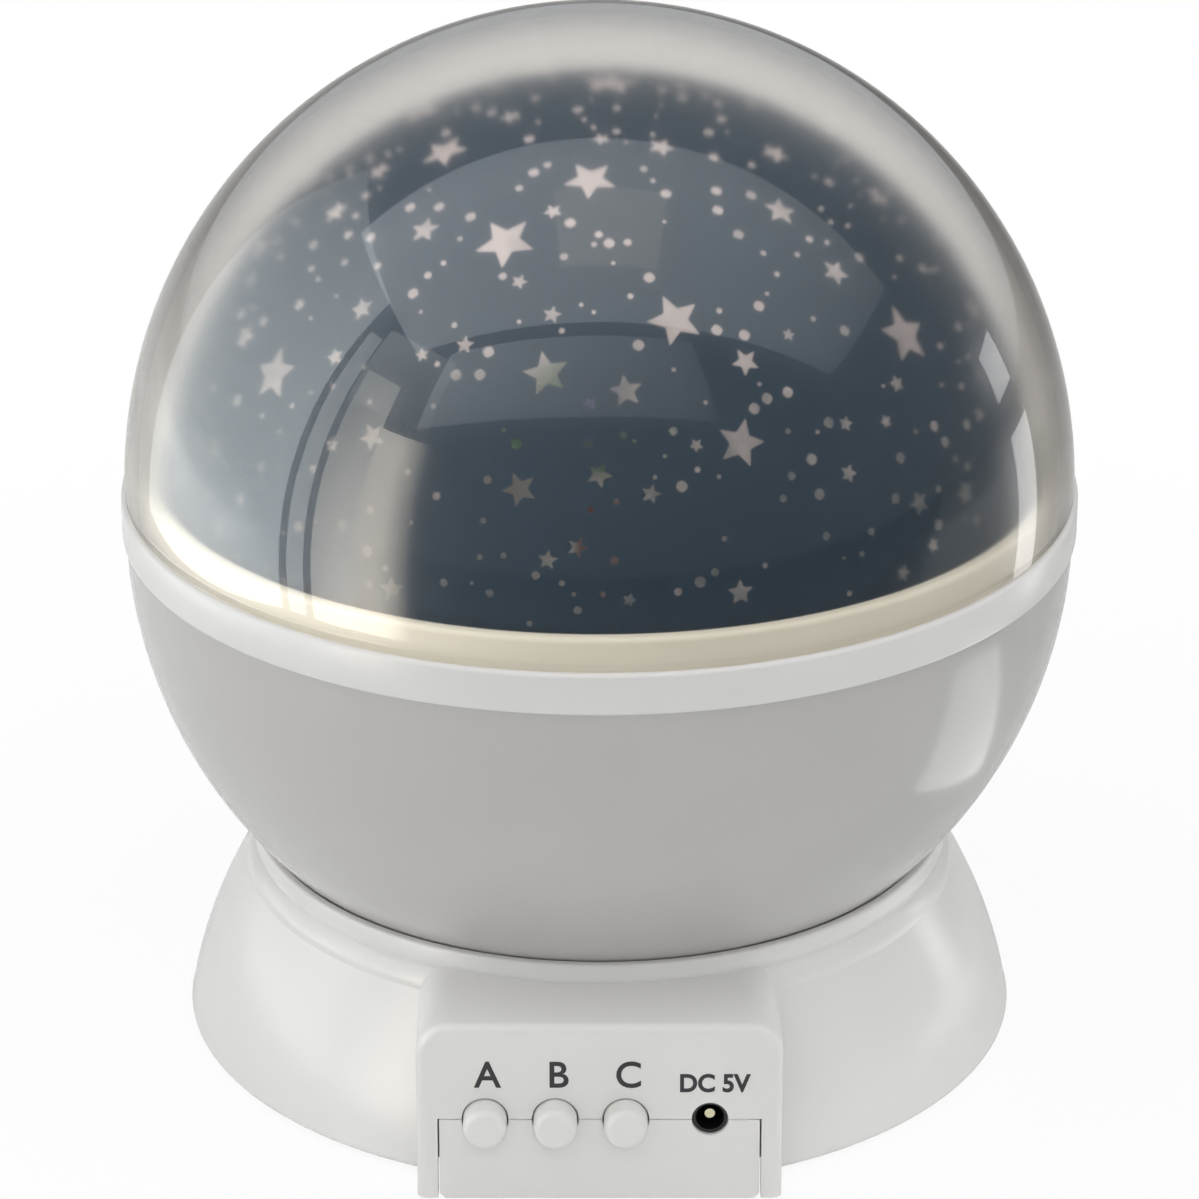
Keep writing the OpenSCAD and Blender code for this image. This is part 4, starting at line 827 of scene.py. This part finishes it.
class PROJECTOR_OT_buttons(bpy.types.Operator):
    """Three white caps, turned about their travel, with a softly rounded front"""
    bl_idname = "projector.buttons"
    bl_label = "Buttons"

    def execute(self, context):
        edge = context.scene.projector_sizes.button_edge
        for node in BUTTON_NODES:
            lo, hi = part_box(node)
            centre = middle(node)
            tip, back = lo.y, hi.y
            flange, bore, bore_end = (hi.x - lo.x) / 2, 1.53 * MM, back - 2.7 * MM
            radius = flange - 0.65 * MM
            front = arc(radius - edge, 0, edge, 0, 90, 10)
            front = np.column_stack([front[:, 0], tip + edge - front[:, 1]])
            crown = [[radius * 0.4, tip + 0.05 * MM], [0, tip + 0.08 * MM]]
            section = np.vstack([[[0, bore_end], [bore, bore_end], [bore, back], [flange, back],
                                  [flange, back - 1 * MM], [radius, back - 1 * MM]], front, crown])
            points, faces = revolved(section, 64, False)
            points = points[..., [0, 2, 1]] + [centre.x, 0, centre.z]
            build(node + "_cap", [(points, faces, 0)], node.replace("button", "key"),
                  ["button"], node)
        return {"FINISHED"}


def printed(name, text, x, z, height, stretch, weight):
    """Letters of pad-printed ink, standing just off the panel, centred on x with their foot at z. The
    weight is what their outlines are widened by, as a share of their height."""
    curve = bpy.data.curves.new(name, "FONT")
    curve.body = text
    curve.size = height / CAPITAL
    curve.align_x = "CENTER"
    curve.offset = height * weight
    curve.extrude = INK_GAP / 2
    curve.resolution_u = 6
    source = bpy.data.objects.new(name + "_text", curve)
    bpy.context.scene.collection.objects.link(source)
    bpy.context.view_layer.update()
    mesh = bpy.data.meshes.new_from_object(source.evaluated_get(bpy.context.evaluated_depsgraph_get()))
    bpy.data.objects.remove(source)
    place = Matrix.Translation((x, PANEL_Y - INK_GAP, z)) @ Matrix.Rotation(math.pi / 2, 4, "X")
    mesh.transform(place @ Matrix.Diagonal((stretch, 1, 1, 1)))
    mesh.name = name
    mesh.materials.clear()
    placed_piece(name, mesh, "base", ["ink"])


class PROJECTOR_OT_lettering(bpy.types.Operator):
    """Plain letters over the buttons and the supply voltage over the socket"""
    bl_idname = "projector.lettering"
    bl_label = "Lettering"

    def execute(self, context):
        height = context.scene.projector_sizes.letter_height
        for letter, node in zip("ABC", BUTTON_NODES):
            printed("letter_" + letter.lower(), letter, middle(node).x + 0.35 * MM, LETTER_FOOT, height,
                    0.93, 0.02)
        printed("supply_mark", "DC 5V", middle("jack_body").x + 0.5 * MM, LETTER_FOOT - 0.6 * MM, 2.5 * MM,
                0.9, 0.045)
        return {"FINISHED"}


# ---- stage

def soft_box(name, place, target, size, brightness, colour="#ffffff", across=(1, 1), upward=(1, 1),
             seen="glossy"):
    """A flat soft box at a place, facing a target. Its radiance is its brightness, where 1 shows as plain
    white, times a share that changes evenly across it and up it. A glossy box shows in reflections only.
    A matt box lights matt surfaces only. Their scattered rays don't sample it, because the clear cover
    bends them, and so its full light reaches what is under the cover."""
    light = bpy.data.lights.new(name, "AREA")
    light.shape = "RECTANGLE"
    light.size, light.size_y = size
    light.energy = math.pi * size[0] * size[1]
    light.color = linear(colour)[:3]
    light.cycles.use_multiple_importance_sampling = seen == "glossy"
    light.use_nodes = True
    tree = light.node_tree
    tree.nodes.clear()
    spot = add(tree, "NewGeometry")
    parts = add(tree, "SeparateXYZ", Vector=spot.outputs["Parametric"])
    sideways = add(tree, "MapRange", Value=parts.outputs["X"], To_Min=across[0] * brightness,
                   To_Max=across[1] * brightness)
    rising = add(tree, "MapRange", Value=parts.outputs["Y"], To_Min=upward[0], To_Max=upward[1])
    strength = add(tree, "Math", operation="MULTIPLY", i0=sideways, i1=rising)
    glow = add(tree, "Emission", Strength=strength, Color=linear("#ffffff"))
    add(tree, "OutputLight", Surface=glow)
    lamp = bpy.data.objects.new(name, light)
    lamp.location = place
    lamp.rotation_euler = (Vector(target) - Vector(place)).to_track_quat("-Z", "Y").to_euler()
    lamp.visible_camera = False
    lamp.visible_diffuse = seen == "matt"
    lamp.visible_glossy = lamp.visible_transmission = seen == "glossy"
    bpy.context.scene.collection.objects.link(lamp)


def wall_box(name, azimuths, distance, heights, brightness, colour="#ffffff", **shares):
    """An upright soft box that faces the axis, between two azimuths in degrees. Azimuth 0 is the side
    of the camera, and 90 is the right-hand side."""
    ends = [Vector((math.sin(math.radians(a)), -math.cos(math.radians(a)), 0)) * distance for a in azimuths]
    place = (ends[0] + ends[1]) / 2
    place.z = sum(heights) / 2
    size = ((ends[1] - ends[0]).length, heights[1] - heights[0])
    soft_box(name, place, (0, 0, place.z), size, brightness, colour, **shares)


def straight_view(tree, path):
    """1 for rays that the camera sends through clear pieces only, 0 for light that was scattered."""
    through = add(tree, "Math", operation="SUBTRACT", use_clamp=True,
                  i0=path.outputs["Is Transmission Ray"], i1=path.outputs["Diffuse Depth"])
    return add(tree, "Math", operation="SUBTRACT", use_clamp=True, i0=through,
               i1=path.outputs["Glossy Depth"])


def paper(name):
    """Matt white paper under the object, on a dark table that shows in front, and darker towards the right:
    it keeps the shadow, and the camera sees it as plain white, also through the clear cover, where a painted
    shadow makes it greyer close to the object."""
    material, tree = new_material(name)
    coords = add(tree, "TexCoord").outputs["Object"]
    reach = add(tree, "VectorMath", operation="LENGTH", i0=coords).outputs["Value"]
    parts = add(tree, "SeparateXYZ", Vector=coords)
    far = add(tree, "MapRange", Value=reach, From_Min=0.24, From_Max=0.30)
    front = add(tree, "MapRange", Value=parts.outputs["Y"], From_Min=0.0, From_Max=-0.12)
    table = add(tree, "Math", operation="MULTIPLY", i0=far, i1=front)
    right = add(tree, "MapRange", Value=parts.outputs["X"], From_Min=0.05, From_Max=0.25, To_Max=0.7)
    dull = add(tree, "Math", operation="MAXIMUM", i0=table, i1=right)
    shade = add(tree, "Mix", data_type="RGBA", Factor=dull, A=linear("#f2f2f0"), B=linear("#303234"))
    matt = add(tree, "BsdfDiffuse", Color=shade)
    path = add(tree, "LightPath")
    white = add(tree, "Emission", Color=linear("#ffffff"), Strength=1.0)
    open_share = add(tree, "MapRange", Value=reach, From_Min=0.07, From_Max=0.22, To_Min=0.92, To_Max=1.0)
    amount = add(tree, "Math", operation="MULTIPLY", i0=path.outputs["Is Camera Ray"], i1=open_share)
    direct = add(tree, "MixShader", i0=amount, i1=matt, i2=white)
    # painted shadow: seen straight through the clear cover, the paper glows dimmer close to the object,
    # where its shadow would fall
    painted_shadow = add(tree, "MapRange", Value=reach, From_Min=0.16, From_Max=0.32, To_Min=0.25, To_Max=1.0)
    behind = add(tree, "Emission", Strength=painted_shadow, Color=linear("#fffdf9"))
    surface = add(tree, "MixShader", i0=straight_view(tree, path), i1=direct, i2=behind)
    add(tree, "OutputMaterial", Surface=surface)
    return material


def studio(name):
    """The room: white to the camera, also through clear pieces, and dim in reflections and as light, a
    little brighter behind the object."""
    world = bpy.data.worlds.new(name)
    world.use_nodes = True
    tree = world.node_tree
    tree.nodes.clear()
    coords = add(tree, "TexCoord")
    parts = add(tree, "SeparateXYZ", Vector=coords.outputs["Generated"])
    room = add(tree, "MapRange", Value=parts.outputs["Y"], From_Min=0.3, From_Max=0.95, To_Min=0.14,
               To_Max=0.6)
    dim = add(tree, "Background", Strength=room, Color=linear("#e4ebf0"))
    white = add(tree, "Background", Color=linear("#ffffff"), Strength=1.0)
    path = add(tree, "LightPath")
    clear = add(tree, "Math", operation="MAXIMUM", i0=path.outputs["Is Camera Ray"],
                i1=straight_view(tree, path))
    both = add(tree, "MixShader", i0=clear, i1=dim, i2=white)
    add(tree, "OutputWorld", Surface=both)
    return world


def light_tent():
    """The lamps. Those that show in reflections come first: a ceiling with a warmer window, a band in
    front, a left-hand wall in panels with dark seams, two narrow strips and a glow at the right. The
    matt ones after them light the object evenly from above and from all sides but the back."""
    soft_box("ceiling", (0.23, -0.145, 0.9), (0.23, -0.145, 0), (2.14, 0.77), 1.0, "#eef4f8",
             across=(1.65, 0.4))
    soft_box("ceiling_window", (0.03, -0.13, 0.88), (0.03, -0.13, 0), (0.3, 0.3), 0.45, "#fff0dc")
    soft_box("front_upper", (-0.13, -0.55, 0.65), (-0.13, 0, 0.65), (0.94, 0.37), 1.0, "#eef4f8",
             across=(1.5, 0.4), upward=(0.7, 1.0))
    wall = 0.26  # from the axis
    wall_box("wall_left", (-123, -71), wall, (0.0, 0.33), 3.1, "#eef6f8", across=(0.28, 1.1),
             upward=(1.0, 0.6))
    wall_box("wall_middle", (-69, -64.5), wall, (0.0, 0.28), 2.9, "#f2f6f6", upward=(1.1, 0.6))
    wall_box("wall_front", (-62.5, -52), wall, (0.0, 0.24), 3.2, "#fffaf0", across=(0.95, 1.3),
             upward=(1.3, 0.4))
    wall_box("wall_upper", (-64, -41), wall, (0.2, 0.3), 1.3, "#f6f6f2", across=(1.1, 0.6),
             upward=(0.4, 0.9))
    wall_box("wall_patch", (-52, -46), wall, (0.0, 0.19), 5.0, "#fff6e6", upward=(1.0, 0.8))
    wall_box("wall_edge", (-46, -39), wall, (0.0, 0.19), 5.0, "#fff6e6", across=(1.0, 0.0),
             upward=(1.0, 0.8))
    wall_box("strip_high", (101, 109), 0.2, (0.098, 0.126), 2.2)
    wall_box("strip_low", (102, 111), 0.2, (0.0, 0.078), 2.2)
    soft_box("glow_right", (0.128, -0.004, 0.002), (0.128, -0.004, 1), (0.09, 0.045), 0.95)
    soft_box("over", (0.27, -0.145, 0.9), (0.27, -0.145, 0), (2.06, 0.77), 1.0, across=(1.6, 0.4),
             seen="matt")
    soft_box("bounce_left", (-0.21, -0.02, 0.002), (-0.21, -0.02, 1), (0.22, 0.4), 0.3, seen="matt")
    wall_box("fill_left", (-120, -60), 0.8, (0.0, 0.7), 1.5, seen="matt")
    wall_box("fill_right", (60, 120), 0.8, (0.0, 0.7), 1.5, seen="matt")
    wall_box("fill_front", (-35, 35), 0.9, (0.0, 0.7), 0.95, upward=(0.85, 1.3), seen="matt")
    soft_box("front_over", (0, -0.6, 0.62), (0, 0, 0.05), (0.8, 0.3), 1.2, seen="matt")


class PROJECTOR_OT_stage(bpy.types.Operator):
    """Camera, a white paper floor, a dim studio and a tent of soft boxes"""
    bl_idname = "projector.stage"
    bl_label = "Stage"

    def execute(self, context):
        scene, stage = context.scene, context.scene.projector_stage
        tilt, reach = stage.elevation, stage.distance
        data = bpy.data.cameras.new("camera")
        data.lens, data.sensor_width, data.sensor_fit = stage.lens, 36.0, "HORIZONTAL"
        data.clip_start, data.clip_end = 0.01, 20
        camera = bpy.data.objects.new("camera", data)
        camera.location = (0, -reach * math.cos(tilt), stage.target_z + reach * math.sin(tilt))
        camera.rotation_euler = (math.pi / 2 - tilt, 0, 0)
        scene.collection.objects.link(camera)
        scene.camera = camera
        scene.view_settings.view_transform = "Standard"
        radii = np.array([0, 0.1, 0.2, 0.4, 0.8, 1.6, 3.0])
        points, faces = revolved(np.column_stack([radii, 0 * radii]), 64, False)
        mesh = bpy.data.meshes.new("floor")
        mesh.from_pydata(points.reshape(-1, 3).tolist(), [], faces.tolist())
        mesh.materials.append(paper("white_paper"))
        floor = bpy.data.objects.new("floor", mesh)
        scene.collection.objects.link(floor)
        scene.world = studio("studio")
        light_tent()
        return {"FINISHED"}


# ---- panel and registration

PIECES = (PROJECTOR_OT_finishes, PROJECTOR_OT_bowl, PROJECTOR_OT_belt, PROJECTOR_OT_seat_ring,
          PROJECTOR_OT_film, PROJECTOR_OT_cover, PROJECTOR_OT_housing, PROJECTOR_OT_buttons,
          PROJECTOR_OT_lettering, PROJECTOR_OT_stage)
GROUPS = (("projector_sizes", ProjectorSizes), ("projector_film", ProjectorFilm),
          ("projector_colours", ProjectorColours), ("projector_stage", ProjectorStage))


class PROJECTOR_PT_sidebar(bpy.types.Panel):
    """Lists the sizes, the colours and the steps"""
    bl_label = "Planetarium projector"
    bl_space_type = "VIEW_3D"
    bl_region_type = "UI"
    bl_category = "Projector"

    def draw(self, context):
        for attribute, group in GROUPS:
            box = self.layout.box()
            for name in group.__annotations__:
                box.prop(getattr(context.scene, attribute), name)
        for piece in PIECES:
            self.layout.operator(piece.bl_idname)


def register():
    for attribute, group in GROUPS:
        bpy.utils.register_class(group)
        setattr(bpy.types.Scene, attribute, PointerProperty(type=group))
    for piece in PIECES:
        bpy.utils.register_class(piece)
    bpy.utils.register_class(PROJECTOR_PT_sidebar)


def unregister():
    bpy.utils.unregister_class(PROJECTOR_PT_sidebar)
    for piece in reversed(PIECES):
        bpy.utils.unregister_class(piece)
    for attribute, group in reversed(GROUPS):
        delattr(bpy.types.Scene, attribute)
        bpy.utils.unregister_class(group)


def main():
    register()
    for piece in PIECES:
        group, step = piece.bl_idname.split(".")
        getattr(getattr(bpy.ops, group), step)()


if __name__ == "__main__":
    main()
